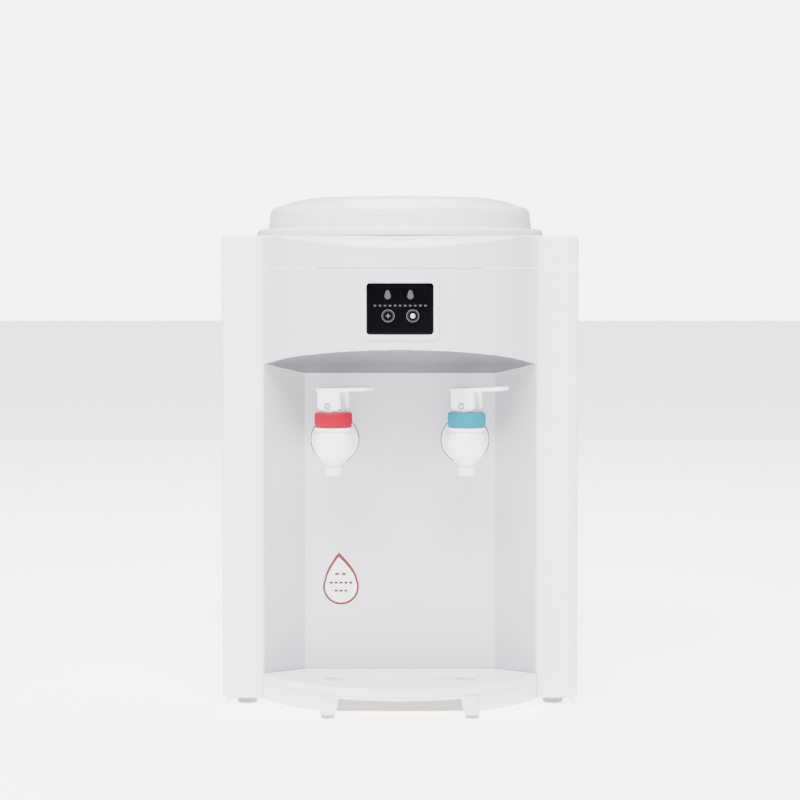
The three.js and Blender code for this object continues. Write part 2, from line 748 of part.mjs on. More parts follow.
function makeGrille() {
  let made = traySolid(TRAY.rim + 0.4, GRILLE_TOP - 2.1, GRILLE_TOP);
  for (const side of [-1, 1])
    made = made.subtract(rodZ(8, 10, 35, 24).translate(side * TAP_X, TAP_Y + 5, 0));
  return made;
}

// ---- Feet, switch, drain and fasteners ---------------------------------------------------------
function makeFeet() {
  const frontFoot = rodZ(5.4, 0, 3 - GAP, 16);
  const cornerFoot = rodZ(8.5, 0, FLOOR_UNDER - GAP, 18);
  for (const [word, side] of [["left", -1], ["right", 1]]) {
    add(`front_foot_${word}`, frontFoot.translate(side * PILLAR_X, PILLAR_Y, 0), DARK_RUBBER);
    add(`side_foot_${word}`, cornerFoot.translate(side * 125.5, -72, 0), DARK_RUBBER);
    add(`rear_foot_${word}`, cornerFoot.translate(side * 125.5, 124, 0), DARK_RUBBER);
  }
}

function makeSwitch() {
  const { x, z, width, height } = SWITCH;
  const outline = roundedRect(width + 4, height + 4, 1.5);
  const flange = new THREE.ExtrudeGeometry(outline, { depth: 1.5, bevelEnabled: false, curveSegments: 3 });
  flange.rotateX(Math.PI / 2).translate(0, BACK + 1.5 + GAP, 0);
  const [w, h] = [width / 2 - GAP, height / 2 - GAP];
  const body = box(-w, w, BACK - 16, BACK + 1, -h, h);
  const well = box(-w + 2, w - 2, BACK - 10, BACK + 4, -h + 2, h - 2);
  const housing = solid(flange).add(body).subtract(well);
  add("switch_housing", housing.translate(x, 0, z), SWITCH_BLACK);
  // Two faces meet at a shallow V; the upper one is pressed in.
  const half = h - 3.4;
  const profile = [
    [-5, -half],
    [0.9, -half],
    [-0.4, 0],
    [0.9, half],
    [-5, half],
  ];
  const rocker = beamX(profile, -w + 2.3, w - 2.3).rotate([12, 0, 0]);
  add("switch_rocker", rocker.translate(x, BACK, z), SWITCH_RED);
}

function makeDrain() {
  const { x, z, radius } = DRAIN;
  const spigot = rodY(radius - 1.5, 128, BACK + 3.6)
    .add(rodY(radius + 4, BACK - SHEET - 3 - GAP, BACK - SHEET - GAP, 20))
    .add(rodY(3.2, 118, 129, 12))
    .subtract(rodY(2, 110, BACK + 10, 12));
  add("drain_spigot", spigot.translate(x, 0, z), TAP_WHITE);
  const outer = rodY(radius + 2.5, BACK + GAP, BACK + 7.5, 24);
  const bore = rodY(radius - 1.2, BACK - 5, BACK + 5, 20);
  add("drain_cap", outer.subtract(bore).translate(x, 0, z), TAP_WHITE);
  const gland = rodY(GLAND.radius, BACK - 5, BACK + 1, 16)
    .add(rodY(GLAND.radius + 2, BACK + GAP, BACK + 2.5, 16))
    .subtract(rodY(3.4, BACK - 10, BACK + 10, 12));
  add("cord_gland", gland.translate(GLAND.x, 0, GLAND.z), SWITCH_BLACK);
}

function makeScrews() {
  const shank = rodY(1.8, BACK - 7, BACK + 1, 8);
  const head = rodY(3.6, BACK + GAP, BACK + 2, 12);
  const driveSlot = box(-4, 4, BACK + 1.2, BACK + 3, -0.5, 0.5);
  const screw = shank.add(head).subtract(driveSlot);
  for (const [word, side] of [["left", -1], ["right", 1]])
    SCREW_Z.forEach((z, i) => {
      const name = `back_screw_${["lower", "upper"][i]}_${word}`;
      add(name, screw.translate(side * SCREW_X, 0, z), STEEL);
    });
}

// The side panels' back flanges have holes for the screws.
function drilled(panel, side) {
  let made = panel;
  for (const z of SCREW_Z)
    made = made.subtract(rodY(2.2, BACK - 12, BACK + 1, 10).translate(side * SCREW_X, 0, z));
  return made;
}

// ---- The machine -------------------------------------------------------------------------------
add("base", makeBase(), TRAY_WHITE);
add("side_panel_left", drilled(makeSidePanel(-1), -1), SHELL_WHITE);
add("side_panel_right", drilled(makeSidePanel(1), 1), SHELL_WHITE);
add("back_cover", makeBackCover(), SHELL_WHITE);
add("top_cover", makeTopCover(), SHELL_WHITE);
add("front_panel", makeFrontPanel(), PANEL_WHITE);
makeDisplay();
add("bottle_seat", makeSeat(), SHELL_WHITE);
add("bottle_probe", makeProbe(), TAP_WHITE);
const gasketRing = [
  [68, 347.3],
  [75, 347.3],
  [75, 350.3],
  [68, 350.3],
  [68, 347.3],
];
add("seat_gasket", turned(gasketRing, 32).translate(0, SEAT_Y, 0), SILICONE);
add("reservoir", makeReservoir(), TRAY_WHITE);
add("hot_tank", makeHotTank(), STEEL);
add("hot_tank_jacket", makeJacket(), FOAM);
add("heating_element", makeHeater(), STEEL);
add("control_thermostat", makeThermostat(165), STEEL);
add("safety_thermostat", makeThermostat(187), STEEL);
makeHoses();
makeTap("hot", -TAP_X, HOT_RED);
makeTap("cold", TAP_X, COLD_BLUE);
add("drip_tray", makeTray(), TRAY_WHITE);
add("drip_grille", makeGrille(), TRAY_WHITE);
makeFeet();
makeSwitch();
makeDrain();
makeScrews();

export default root;
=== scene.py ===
"""A countertop water dispenser: the fine surfaces, materials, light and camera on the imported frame.

Shapes are written in millimetres and turned into metres when a mesh is made.
"""
import math

import bpy
import numpy as np
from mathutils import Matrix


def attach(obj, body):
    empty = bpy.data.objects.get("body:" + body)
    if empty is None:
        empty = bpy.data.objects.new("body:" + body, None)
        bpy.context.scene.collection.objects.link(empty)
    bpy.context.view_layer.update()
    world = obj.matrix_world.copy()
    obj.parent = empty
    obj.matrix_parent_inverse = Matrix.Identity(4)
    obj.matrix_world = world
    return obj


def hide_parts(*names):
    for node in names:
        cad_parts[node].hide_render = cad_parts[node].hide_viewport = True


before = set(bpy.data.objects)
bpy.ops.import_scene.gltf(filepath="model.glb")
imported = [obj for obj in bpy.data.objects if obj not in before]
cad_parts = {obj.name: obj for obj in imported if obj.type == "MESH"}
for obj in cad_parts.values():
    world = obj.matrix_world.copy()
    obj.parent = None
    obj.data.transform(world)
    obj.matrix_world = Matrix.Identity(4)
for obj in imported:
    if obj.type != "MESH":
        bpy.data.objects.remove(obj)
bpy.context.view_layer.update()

# ---- Dimensions of the casing, in millimetres ----
HALF_WIDTH = 145.0
FRONT = -88.0
BACK = 142.5
BULGE = 62.0
COLUMN_INNER = 112.0
BLEND_START = 90.0
RECESS_BACK = -68.0
RECESS_HALF = 78.0
SIDE_BOTTOM = 7.0
SEAM = 355.8
GAP = 0.3
SEAM_GAP = 0.12  # the closed joint line round the casing
TOP = 382.4
SLOPE_START = -107.0
TOP_SLOPE = 0.19
LIP_HEIGHT = 292.4
LIP_CORNER = 278.9
CEILING_BACK = 269.9
SEAT_Y = 16.0
TAP_X = 53.4
TAP_Y = -108.0
TAP_LIFT = 2.4  # the taps' own heights below are counted from here
BALL_Z = 213.0
LEVER_TURN = math.radians(60)
LEVER_TILT = math.radians(2.4)
PIN_Z = 243.6
SKIRT_BOTTOM = 5.0
SKIRT_TOP = 18.6
TRAY_TOP = 26.0
GRILLE_TOP = 24.8
SLOT_HALF = 50.0
SLOT_TOP = 16.2
PILLAR = (57.3, -134.0)
DISPLAY_Z = 324.2
BEZEL_SIZE = (62, 49)
BEZEL_HOLE = (52.6, 40.6)
WINDOW_SIZE = (52.0, 40.0)
LAMP_X = (-9.2, 9.9)
MARK_STANDS = 0.97  # how far the display's marks stand out from the bowed front
STICKER_X = -48.6
FRONT_CORNER = 5.0
REAR_CORNER = 3.0
SEAT_OPENING = 108.0
SKIRT_REACH = 111.4
TRAY_REACH = 111.6
DISH_SCALE = 0.955
HOLE_Y = TAP_Y + 5
BALL_RADIUS = 16.3
CAP_Y = 144
CAP_Z = 40
PAD_X = 125.5
BULGE_RADIUS = (COLUMN_INNER**2 + BULGE**2) / (2 * BULGE)
BULGE_CENTRE = FRONT - BULGE + BULGE_RADIUS
SIDES = (("left", -1), ("right", 1))


# ---- Camera, light and floor ----
def make_camera():
    data = bpy.data.cameras.new("camera")
    data.lens = 91.7
    data.sensor_width = 36.0
    data.shift_y = -0.075
    data.clip_end = 20.0
    camera = bpy.data.objects.new("camera", data)
    camera.location = (0.0, FRONT / 1000 - 1.65, 0.356)
    camera.rotation_euler = (math.radians(90 - 2.02), 0, 0)
    bpy.context.scene.collection.objects.link(camera)
    bpy.context.scene.camera = camera


def area_light(name, location, target, size, energy, colour=(1, 1, 1)):
    data = bpy.data.lights.new(name, "AREA")
    data.shape = "RECTANGLE"
    data.size, data.size_y = size
    data.energy = energy
    data.color = colour
    light = bpy.data.objects.new(name, data)
    light.location = location
    away = np.array(location) - np.array(target)
    light.rotation_euler = (
        math.atan2(math.hypot(away[0], away[1]), away[2]),
        0,
        math.atan2(away[0], -away[1]),
    )
    bpy.context.scene.collection.objects.link(light)


def make_lights():
    area_light("key_over_front", (-0.2, -1.2, 2.1), (0, 0, 0.2), (1.8, 0.8), 200, (0.985, 0.975, 1.0))
    area_light("fill_left", (-1.9, -0.9, 0.8), (0, 0, 0.2), (1.2, 1.4), 9, (0.97, 0.98, 1.0))
    area_light("fill_right", (1.9, -0.7, 0.9), (0, 0, 0.2), (1.2, 1.4), 4, (0.98, 0.98, 1.0))
    area_light("top_back", (0, 1.2, 1.9), (0, 0, 0.3), (1.8, 1.0), 70)
    world = bpy.data.worlds.new("studio")
    world.use_nodes = True
    background = world.node_tree.nodes["Background"]
    background.inputs["Color"].default_value = (0.965, 0.97, 1.0, 1)
    # The studio's white paper is seen at full brightness, while the room itself gives only a weak fill.
    seen = world.node_tree.nodes.new("ShaderNodeLightPath")
    strength = world.node_tree.nodes.new("ShaderNodeMapRange")
    strength.inputs["To Min"].default_value = 0.3
    strength.inputs["To Max"].default_value = 6.5
    world.node_tree.links.new(seen.outputs["Is Camera Ray"], strength.inputs["Value"])
    world.node_tree.links.new(strength.outputs["Result"], background.inputs["Strength"])
    bpy.context.scene.world = world


# ---- Materials ----
def grey(nodes, links, texture, low, high):
    """A texture's value squeezed between two numbers."""
    spread = nodes.new("ShaderNodeMapRange")
    spread.inputs["From Min"].default_value = 0.3
    spread.inputs["From Max"].default_value = 0.7
    spread.inputs["To Min"].default_value = low
    spread.inputs["To Max"].default_value = high
    links.new(texture, spread.inputs["Value"])
    return spread.outputs["Result"]


def noise(nodes, links, scale, detail=3.0, stretch=(1, 1, 1)):
    place = nodes.new("ShaderNodeTexCoord")
    mapping = nodes.new("ShaderNodeMapping")
    mapping.inputs["Scale"].default_value = stretch
    texture = nodes.new("ShaderNodeTexNoise")
    texture.inputs["Scale"].default_value = scale
    texture.inputs["Detail"].default_value = detail
    links.new(place.outputs["Object"], mapping.inputs["Vector"])
    links.new(mapping.outputs["Vector"], texture.inputs["Vector"])
    return texture.outputs["Fac"]


def new_material(name):
    material = bpy.data.materials.new(name)
    material.use_nodes = True
    tree = material.node_tree
    return material, tree.nodes, tree.links, tree.nodes["Principled BSDF"]


def colour_between(nodes, links, factor, first, second, shader):
    """Runs the base colour between two colours by a texture's value."""
    mix = nodes.new("ShaderNodeMix")
    mix.data_type = "RGBA"
    mix.inputs["A"].default_value = (*first, 1)
    mix.inputs["B"].default_value = (*second, 1)
    links.new(factor, mix.inputs["Factor"])
    links.new(mix.outputs["Result"], shader.inputs["Base Color"])


def add_bump(nodes, links, height, distance, strength, shader):
    bump = nodes.new("ShaderNodeBump")
    bump.inputs["Distance"].default_value = distance
    bump.inputs["Strength"].default_value = strength
    links.new(height, bump.inputs["Height"])
    links.new(bump.outputs["Normal"], shader.inputs["Normal"])


def surface(name, colour, roughness, spread=0.05, tone=0.03, grain=(900, 0.00004), extra=None):
    """A plastic, metal or rubber surface: faint cloudy tone, uneven gloss and a fine moulded grain."""
    material, nodes, links, shader = new_material(name)
    for socket, value in (extra or {}).items():
        shader.inputs[socket].default_value = value
    cloudy = grey(nodes, links, noise(nodes, links, 14.0), 0.0, 1.0)
    colour_between(nodes, links, cloudy, colour, [max(0.0, c * (1 - tone)) for c in colour], shader)
    gloss = grey(nodes, links, noise(nodes, links, 60.0, 4.0), roughness - spread, roughness + spread)
    links.new(gloss, shader.inputs["Roughness"])
    add_bump(nodes, links, noise(nodes, links, grain[0], 2.0), grain[1], 0.6, shader)
    return material


def brushed(name, colour, roughness, stretch):
    """Metal with fine brush marks along one direction."""
    material, nodes, links, shader = new_material(name)
    shader.inputs["Metallic"].default_value = 1.0
    marks = noise(nodes, links, 300.0, 4.0, stretch)
    colour_between(nodes, links, marks, colour, [c * 0.8 for c in colour], shader)
    links.new(grey(nodes, links, marks, roughness, roughness + 0.2), shader.inputs["Roughness"])
    add_bump(nodes, links, marks, 0.00003, 1.0, shader)
    return material


def glow(strength, colour=(1, 1, 1)):
    """The sockets of a surface that gives off light."""
    return {"Emission Color": (*colour, 1), "Emission Strength": strength}


CASING = surface("casing_white", (0.79, 0.79, 0.83), 0.3, 0.04, 0.015, (700, 0.00003))
# The bowed front and the recess are the casing's white plastic, darkened as painted shade.
PANEL_PAINTED_SHADE = surface("panel_white", (0.60, 0.60, 0.64), 0.32, 0.04, 0.015, (700, 0.00003))
# The recess's side walls: the same white plastic in a deeper painted shade.
RECESS_SIDE_PAINTED_SHADE = surface("recess_side_painted_shade", (0.46, 0.46, 0.495), 0.34, 0.04, 0.015, (700, 0.00003))
# The recess's ceiling: the same white plastic in near-black painted shade.
CEILING_PAINTED_SHADE = surface("ceiling_painted_shade", (0.09, 0.088, 0.093), 0.45, 0.04, 0.02, (700, 0.00003))
SHEET = surface("powder_coat", (0.79, 0.79, 0.82), 0.5, 0.05, 0.03, (420, 0.0001))
TRAY = surface("tray_white", (0.80, 0.80, 0.84), 0.36, 0.05, 0.02, (600, 0.00005))
SEAT = surface("seat_white", (0.81, 0.81, 0.85), 0.28, 0.04, 0.015, (650, 0.00004))
TAP = surface("tap_white", (0.90, 0.90, 0.89), 0.22, 0.04, 0.02, (800, 0.00002))
SOFT_GLOSS = {"Specular IOR Level": 0.06}
HOT = surface("hot_red", (0.27, 0.0, 0.017), 0.3, 0.04, 0.08, (500, 0.00003), SOFT_GLOSS)
COLD = surface("cold_blue", (0.0, 0.17, 0.22), 0.3, 0.04, 0.08, (500, 0.00003), SOFT_GLOSS)
FAINT_GLOSS = {"Specular IOR Level": 0.05}
BLACK = surface("display_black", (0.0012, 0.0012, 0.0018), 0.12, 0.03, 0.3, (300, 0.000004), FAINT_GLOSS)
PRINT = surface("printed_grey", (0.07, 0.07, 0.075), 0.4, 0.05, 0.1)
DIM_PRINT = surface("printed_dim", (0.032, 0.032, 0.035), 0.4, 0.05, 0.1)
SHADE = surface("joint_shadow", (0.045, 0.045, 0.05), 0.7, 0.05, 0.1)
GLOW = surface("lamp_white", (0.45, 0.45, 0.47), 0.3, 0.05, 0.1, extra=glow(0.3))
STICKER_RED = surface("sticker_red", (0.13, 0.0, 0.003), 0.45, 0.06, 0.15)
FILM = surface("sticker_film", (0.80, 0.79, 0.82), 0.16, 0.03, 0.01, (200, 0.00002))
RUBBER = surface("foot_rubber", (0.30, 0.30, 0.305), 0.75, 0.1, 0.25, (500, 0.0002))
NYLON = surface("black_nylon", (0.012, 0.012, 0.014), 0.5, 0.06, 0.2, (600, 0.0001))
SWITCH = surface("switch_red", (0.52, 0.008, 0.012), 0.25, 0.05, 0.1)
SILICONE = surface("silicone", (0.66, 0.68, 0.70), 0.4, 0.05, 0.04, extra={"Transmission Weight": 0.25})
BOARD = surface("circuit_board", (0.01, 0.10, 0.03), 0.4, 0.08, 0.3)
FOAM = surface("foam", (0.62, 0.57, 0.42), 0.9, 0.05, 0.15, (350, 0.0006))
# The slot's wall and roof glow faintly: painted light on a wall that would lie in shade.
SLOT_PAINTED_LIGHT = surface("slot_warm_painted_light", (0.40, 0.37, 0.33), 0.6, 0.05, 0.05, extra=glow(0.08, (1.0, 0.93, 0.86)))
STEEL = brushed("steel", (0.55, 0.56, 0.58), 0.22, (1, 1, 0.03))
CHROME = brushed("pin_steel", (0.62, 0.62, 0.64), 0.15, (1, 0.1, 1))


# ---- Mesh helpers ----
def turns(count):
    """Angles all the way round."""
    return [2 * math.pi * i / count for i in range(count)]


def quarter(steps):
    """Angles of a quarter turn, both ends included."""
    return [math.pi / 2 * i / steps for i in range(steps + 1)]


def piece(name, points, faces, material, body="cabinet", sharp=None, weighted=True):
    """A mesh piece from points in millimetres, riding on a body."""
    mesh = bpy.data.meshes.new(name)
    mesh.from_pydata([tuple(c * 0.001 for c in p) for p in points], [], faces)
    mesh.validate()
    mesh.polygons.foreach_set("use_smooth", [True] * len(mesh.polygons))
    mesh.materials.append(material)
    if sharp is not None:
        mesh.set_sharp_from_angle(angle=math.radians(sharp))
    made = bpy.data.objects.new(name, mesh)
    bpy.context.scene.collection.objects.link(made)
    if weighted:
        smooth = made.modifiers.new("even_shading", "WEIGHTED_NORMAL")
        smooth.keep_sharp = True
    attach(made, body)
    return made


def strip_faces(rows, columns, closed, first=0):
    """Quads between rows of points, each row an open line or a closed ring."""
    faces = []
    last = columns if closed else columns - 1
    for row in range(rows - 1):
        for column in range(last):
            a = first + row * columns + column
            b = first + row * columns + (column + 1) % columns
            faces.append((a, b, b + columns, a + columns))
    return faces


def rings_to_mesh(rings, cap_first=True, cap_last=True):
    """Points and faces of a stack of closed rings with the same number of points."""
    count = len(rings[0])
    points = [p for ring in rings for p in ring]
    faces = strip_faces(len(rings), count, True)
    if cap_first:
        faces.append(tuple(reversed(range(count))))
    if cap_last:
        faces.append(tuple(range(len(points) - count, len(points))))
    return points, faces


def ring_piece(name, rings, material, body="cabinet", first=False, last=False, flip=False, **look):
    """A piece skinned over a stack of closed rings."""
    points, faces = rings_to_mesh(rings, first, last)
    if flip:
        faces = [tuple(reversed(f)) for f in faces]
    return piece(name, points, faces, material, body, **look)


def rounded_line(points, radius, steps=5):
    """A polyline whose inner corners are rounded; a point may carry its own radius as a third number."""
    done = [tuple(points[0][:2])]
    for before, here, after in zip(points, points[1:], points[2:]):
        want = here[2] if len(here) > 2 else radius
        p, a, b = (np.array(q[:2], float) for q in (here, before, after))
        to_a, to_b = a - p, b - p
        long_a, long_b = np.linalg.norm(to_a), np.linalg.norm(to_b)
        ua, ub = to_a / long_a, to_b / long_b
        half = math.acos(max(-1.0, min(1.0, float(ua @ ub)))) / 2
        if want <= 0 or half > math.radians(88):
            done.append(tuple(p))
            continue
        cut = min(want / math.tan(half), 0.48 * long_a, 0.48 * long_b)
        start, end = p + ua * cut, p + ub * cut
        for i in range(steps + 1):
            t = i / steps
            done.append(tuple((1 - t) ** 2 * start + 2 * t * (1 - t) * p + t**2 * end))
    done.append(tuple(points[-1][:2]))
    return done


def lathe(name, profile, centre, material, body="cabinet", segments=96, radius=0.8, sharp=None, along="z"):
    """A profile of (radius, distance) points turned about an axis through centre."""
    line = rounded_line(profile, radius) if radius else [tuple(p[:2]) for p in profile]
    points, faces, rows = [], [], []
    for r, h in line:
        if r < 1e-6:
            rows.append([len(points)] * segments)
            points.append((0.0, 0.0, h))
            continue
        rows.append([len(points) + i for i in range(segments)])
        points += [(r * math.cos(a), r * math.sin(a), h) for a in turns(segments)]
    for low, high in zip(rows, rows[1:]):
        for i in range(segments):
            j = (i + 1) % segments
            corners = [low[i], low[j], high[j], high[i]]
            face = tuple(dict.fromkeys(corners))
            if len(face) > 2:
                faces.append(face)
    if along == "y":
        points = [(x, h, -y) for x, y, h in points]
    if along == "x":
        points = [(h, x, y) for x, y, h in points]
    cx, cy, cz = centre
    points = [(x + cx, y + cy, z + cz) for x, y, z in points]
    return piece(name, points, faces, material, body, sharp, weighted=False)


def edge(z0, z1, low=0.8, high=0.8, steps=4):
    """(inset, height) pairs up a wall whose lower and upper edges are rounded."""
    foot = [(low * (1 - math.sin(a)), z0 + low * (1 - math.cos(a))) for a in quarter(steps)]
    head = [(high * (1 - math.cos(a)), z1 - high * (1 - math.sin(a))) for a in quarter(steps)]
    return foot + head


def inset_ring(ring, inset):
    """A closed ring of (x, y) points, counterclockwise, moved inwards."""
    p = np.array(ring, float)
    ahead = np.roll(p, -1, axis=0) - p
    behind = p - np.roll(p, 1, axis=0)
    ahead /= np.linalg.norm(ahead, axis=1)[:, None]
    behind /= np.linalg.norm(behind, axis=1)[:, None]
    tangent = ahead + behind
    tangent /= np.linalg.norm(tangent, axis=1)[:, None]
    inward = np.stack([-tangent[:, 1], tangent[:, 0]], axis=1)
    return [tuple(q) for q in p + inward * inset]


def rounded_ring(corners, radius, steps=6):
    """A closed polygon with rounded corners, counterclockwise."""
    looped = [corners[-1], *corners, corners[0]]
    line = rounded_line(looped, radius, steps)
    return line[1:-1]


def subdivided(ring, step):
    """A closed ring with more points along its long stretches."""
    even = []
    for a, b in zip(ring, ring[1:] + ring[:1]):
        steps = max(1, int(math.dist(a, b) / step))
        even += [(a[0] + (b[0] - a[0]) * i / steps, a[1] + (b[1] - a[1]) * i / steps) for i in range(steps)]
    return even


def resampled(ring, count):
    """A closed ring as count evenly spaced points."""
    p = np.array(ring + [ring[0]])
    far = np.concatenate([[0], np.cumsum(np.linalg.norm(np.diff(p, axis=0), axis=1))])
    at = np.linspace(0, far[-1], count, endpoint=False)
    return [(float(np.interp(s, far, p[:, 0])), float(np.interp(s, far, p[:, 1]))) for s in at]


def slab(name, ring, profile, material, body="cabinet", place=None, sharp=None):
    """A closed ring of (x, y) points raised through (inset, height) pairs."""
    rings = []
    for inset, z in profile:
        rings.append([(x, y, z) for x, y in inset_ring(ring, inset)])
    points, faces = rings_to_mesh(rings)
    if place:
        points = [place(p) for p in points]
    return piece(name, points, faces, material, body, sharp)


# ---- Casing ----
def bow(x):
    return BULGE_CENTRE - math.sqrt(BULGE_RADIUS**2 - x**2)


def front_line(x):
    """The bowed front seen from above, running softly into the flat columns."""
    x = abs(x)
    if x >= COLUMN_INNER:
        return FRONT
    if x <= BLEND_START:
        return bow(x)
    slope = BLEND_START / math.sqrt(BULGE_RADIUS**2 - BLEND_START**2)
    width = COLUMN_INNER - BLEND_START
    t = (x - BLEND_START) / width
    start = (2 * t**3 - 3 * t**2 + 1) * bow(BLEND_START) + (t**3 - 2 * t**2 + t) * width * slope
    return start + (3 * t**2 - 2 * t**3) * FRONT


def soft_low(a, b, k):
    h = min(1.0, max(0.0, 0.5 + 0.5 * (b - a) / k))
    return b + (a - b) * h - k * h * (1 - h)


def front_surface(x, z):
    """How far back the front of the casing lies at a place, in the housing or in the recess."""
    lean = (COLUMN_INNER - RECESS_HALF) / (RECESS_BACK - FRONT)
    side = FRONT + (COLUMN_INNER - abs(x)) / lean
    if z > LIP_CORNER:
        ceiling = FRONT - (z - LIP_CORNER) * BULGE / (LIP_HEIGHT - LIP_CORNER)
    else:
        ceiling = FRONT + (LIP_CORNER - z) * (RECESS_BACK - FRONT) / (LIP_CORNER - CEILING_BACK)
    recess = soft_low(soft_low(RECESS_BACK, side, 1.2), ceiling, 1.6)
    return -soft_low(-front_line(x), -recess, 1.8)


def across(*stretches):
    """Places across the front, from stretches (start, end, step) up to the middle and their mirror."""
    xs = [float(x) for stretch in stretches for x in np.arange(*stretch, dtype=float)]
    return xs + [-x for x in reversed(xs) if x < -0.01]


def front_columns():
    """(x, y or None, normal x, normal y) across the front, with rounded corners and short returns."""
    r = FRONT_CORNER
    left = [(-HALF_WIDTH, -70.0, -1.0, 0.0), (-HALF_WIDTH, -76.0, -1.0, 0.0)]
    for a in quarter(6):
        nx, ny = -math.cos(a), -math.sin(a)
        left.append((-HALF_WIDTH + r + r * nx, FRONT + r + r * ny, nx, ny))
    xs = across((-138, -118, 4), (-118, -104, 0.7), (-104, -82, 1.1), (-82, -75, 0.5), (-75, 0.1, 2.5))
    middle = [(x, None, 0.0, -1.0) for x in xs]
    right = [(-x, y, -nx, ny) for x, y, nx, ny in reversed(left)]
    return left + middle + right


def make_front():
    z0, z1 = SIDE_BOTTOM, SEAM - SEAM_GAP
    heights = [(z0, 0.9), (z0 + 0.3, 0.3), (z0 + 0.9, 0.0)]
    for stretch in ((11.0, 263.0, 6.0), (265.0, 297.0, 0.4), (298.0, z1 - 3, 4.0)):
        heights += [(float(z), 0.0) for z in np.arange(*stretch)]
    heights += [(z1 - 0.6, 0.0), (z1 - 0.2, 0.07), (z1, 0.25), (z1, 2.4)]
    columns = front_columns()
    points = []
    for z, inset in heights:
        for x, y, nx, ny in columns:
            depth = front_surface(x, z) if y is None else y
            points.append((x - nx * inset, depth - ny * inset, z))
    faces = strip_faces(len(heights), len(columns), False)
    # Below the tray only the columns reach the bottom edge.
    floor_rows = [row for row, (z, _) in enumerate(heights) if z < SIDE_BOTTOM + 2]
    width = len(columns)
    kept = []
    for face in faces:
        row, column = divmod(face[0], width)
        inner = abs(columns[column][0]) < COLUMN_INNER - 0.5
        if not (inner and row in floor_rows):
            kept.append(face)
    shell = piece("front_shell", points, kept, PANEL_PAINTED_SHADE, weighted=False)
    # Faces take painted shade by where they lie and face: the recess's downward faces near-black, its side
    # walls darker grey, the bowed front and the rest of the recess mid-grey; the columns keep the casing's
    # white.
    for material in (CEILING_PAINTED_SHADE, RECESS_SIDE_PAINTED_SHADE, CASING):
        shell.data.materials.append(material)
    for face in shell.data.polygons:
        x, y, z = (c * 1000 for c in face.center)
        if abs(x) > COLUMN_INNER:
            face.material_index = 3
        elif z < LIP_HEIGHT and y > front_line(x) + 1.5 and face.normal.z < -0.6:
            face.material_index = 1
        elif z < LIP_HEIGHT and y > front_line(x) + 1.5 and abs(face.normal.x) > 0.3:
            face.material_index = 2
    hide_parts("front_panel")


def make_sides():
    for word, side in SIDES:
        path = [(HALF_WIDTH, -69.6, 1.0, 0.0), (HALF_WIDTH, -69.2, 1.0, 0.0)]
        path += [(HALF_WIDTH, float(y), 1.0, 0.0) for y in np.arange(-60, 139, 20)]
        r = REAR_CORNER
        for a in quarter(6):
            nx, ny = math.cos(a), math.sin(a)
            path.append((HALF_WIDTH - r + r * nx, BACK - r + r * ny, nx, ny))
        path.append((128.4, BACK, 0.0, 1.0))
        path.insert(0, (HALF_WIDTH - 0.8, -69.6, 1.0, 0.0))
        points = []
        rows = [(p, q) for q, p in edge(SIDE_BOTTOM, SEAM - SEAM_GAP, 0.9, 0.25)]
        rows = [rows[0]] + rows[1:5] + [(z, 0.0) for z in range(30, 340, 30)] + rows[5:]
        for z, inset in rows:
            for x, y, nx, ny in path:
                points.append((side * (x - nx * inset), y - ny * inset, z))
        faces = strip_faces(len(rows), len(path), False)
        if side < 0:
            faces = [tuple(reversed(f)) for f in faces]
        skin = piece(f"side_skin_{word}", points, faces, CASING, weighted=False)
        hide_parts(f"side_panel_{word}")


def casing_ring():
    """The casing's outline from above, counterclockwise."""
    r = FRONT_CORNER
    ring = []
    for a in quarter(6):
        ring.append((-HALF_WIDTH + r - r * math.cos(a), FRONT + r - r * math.sin(a)))
    ring += [(x, front_line(x)) for x in across((-134, -112, 6), (-112, 0.1, 2))]
    for a in quarter(6):
        ring.append((HALF_WIDTH - r + r * math.sin(a), FRONT + r - r * math.cos(a)))
    ring += [(HALF_WIDTH, float(y)) for y in np.arange(-70, 130, 12)]
    r = REAR_CORNER
    for a in quarter(5):
        ring.append((HALF_WIDTH - r + r * math.cos(a), BACK - r + r * math.sin(a)))
    ring += [(float(x), BACK) for x in np.arange(130, -131, -10)]
    for a in quarter(5):
        ring.append((-HALF_WIDTH + r - r * math.sin(a), BACK - r + r * math.cos(a)))
    ring += [(-HALF_WIDTH, float(y)) for y in np.arange(130, -71, -12)]
    return ring


def top_height(y):
    past = SLOPE_START - y
    rise = 0.5 * (past + math.sqrt(past * past + 30.0))
    return TOP - TOP_SLOPE * max(0.0, rise - 0.15)


def make_top():
    ring = casing_ring()
    rings = []
    low = SEAM + SEAM_GAP
    for inset, z in ((2.4, low), (0.25, low), (0.07, low + 0.2), (0, low + 0.6)):
        rings.append([(x, y, z) for x, y in inset_ring(ring, inset)])
    r = 3.2
    for a in quarter(8):
        inset = r * (1 - math.cos(a))
        drop = r * (1 - math.sin(a))
        rings.append([(x, y, top_height(y) - drop) for x, y in inset_ring(ring, inset)])
    edge_ring = inset_ring(ring, r)
    for i in range(1, 13):
        t = i / 12
        line = []
        for x, y in edge_ring:
            away = math.hypot(x, y - SEAT_Y)
            cx, cy = x / away * SEAT_OPENING, SEAT_Y + (y - SEAT_Y) / away * SEAT_OPENING
            px, py = x + (cx - x) * t, y + (cy - y) * t
            line.append((px, py, top_height(py)))
        rings.append(line)
    inner = rings[-1]
    rings.append([(x, y, TOP - 3.0) for x, y, _ in inner])
    cover = ring_piece("top_shell", rings, CASING, weighted=False)
    # The cover's front band over the bow takes the bowed front's painted shade.
    cover.data.materials.append(PANEL_PAINTED_SHADE)
    for face in cover.data.polygons:
        x, y, _ = (c * 1000 for c in face.center)
        if abs(x) < COLUMN_INNER and y < FRONT and face.normal.z < 0.5:
            face.material_index = 1
    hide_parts("top_cover")


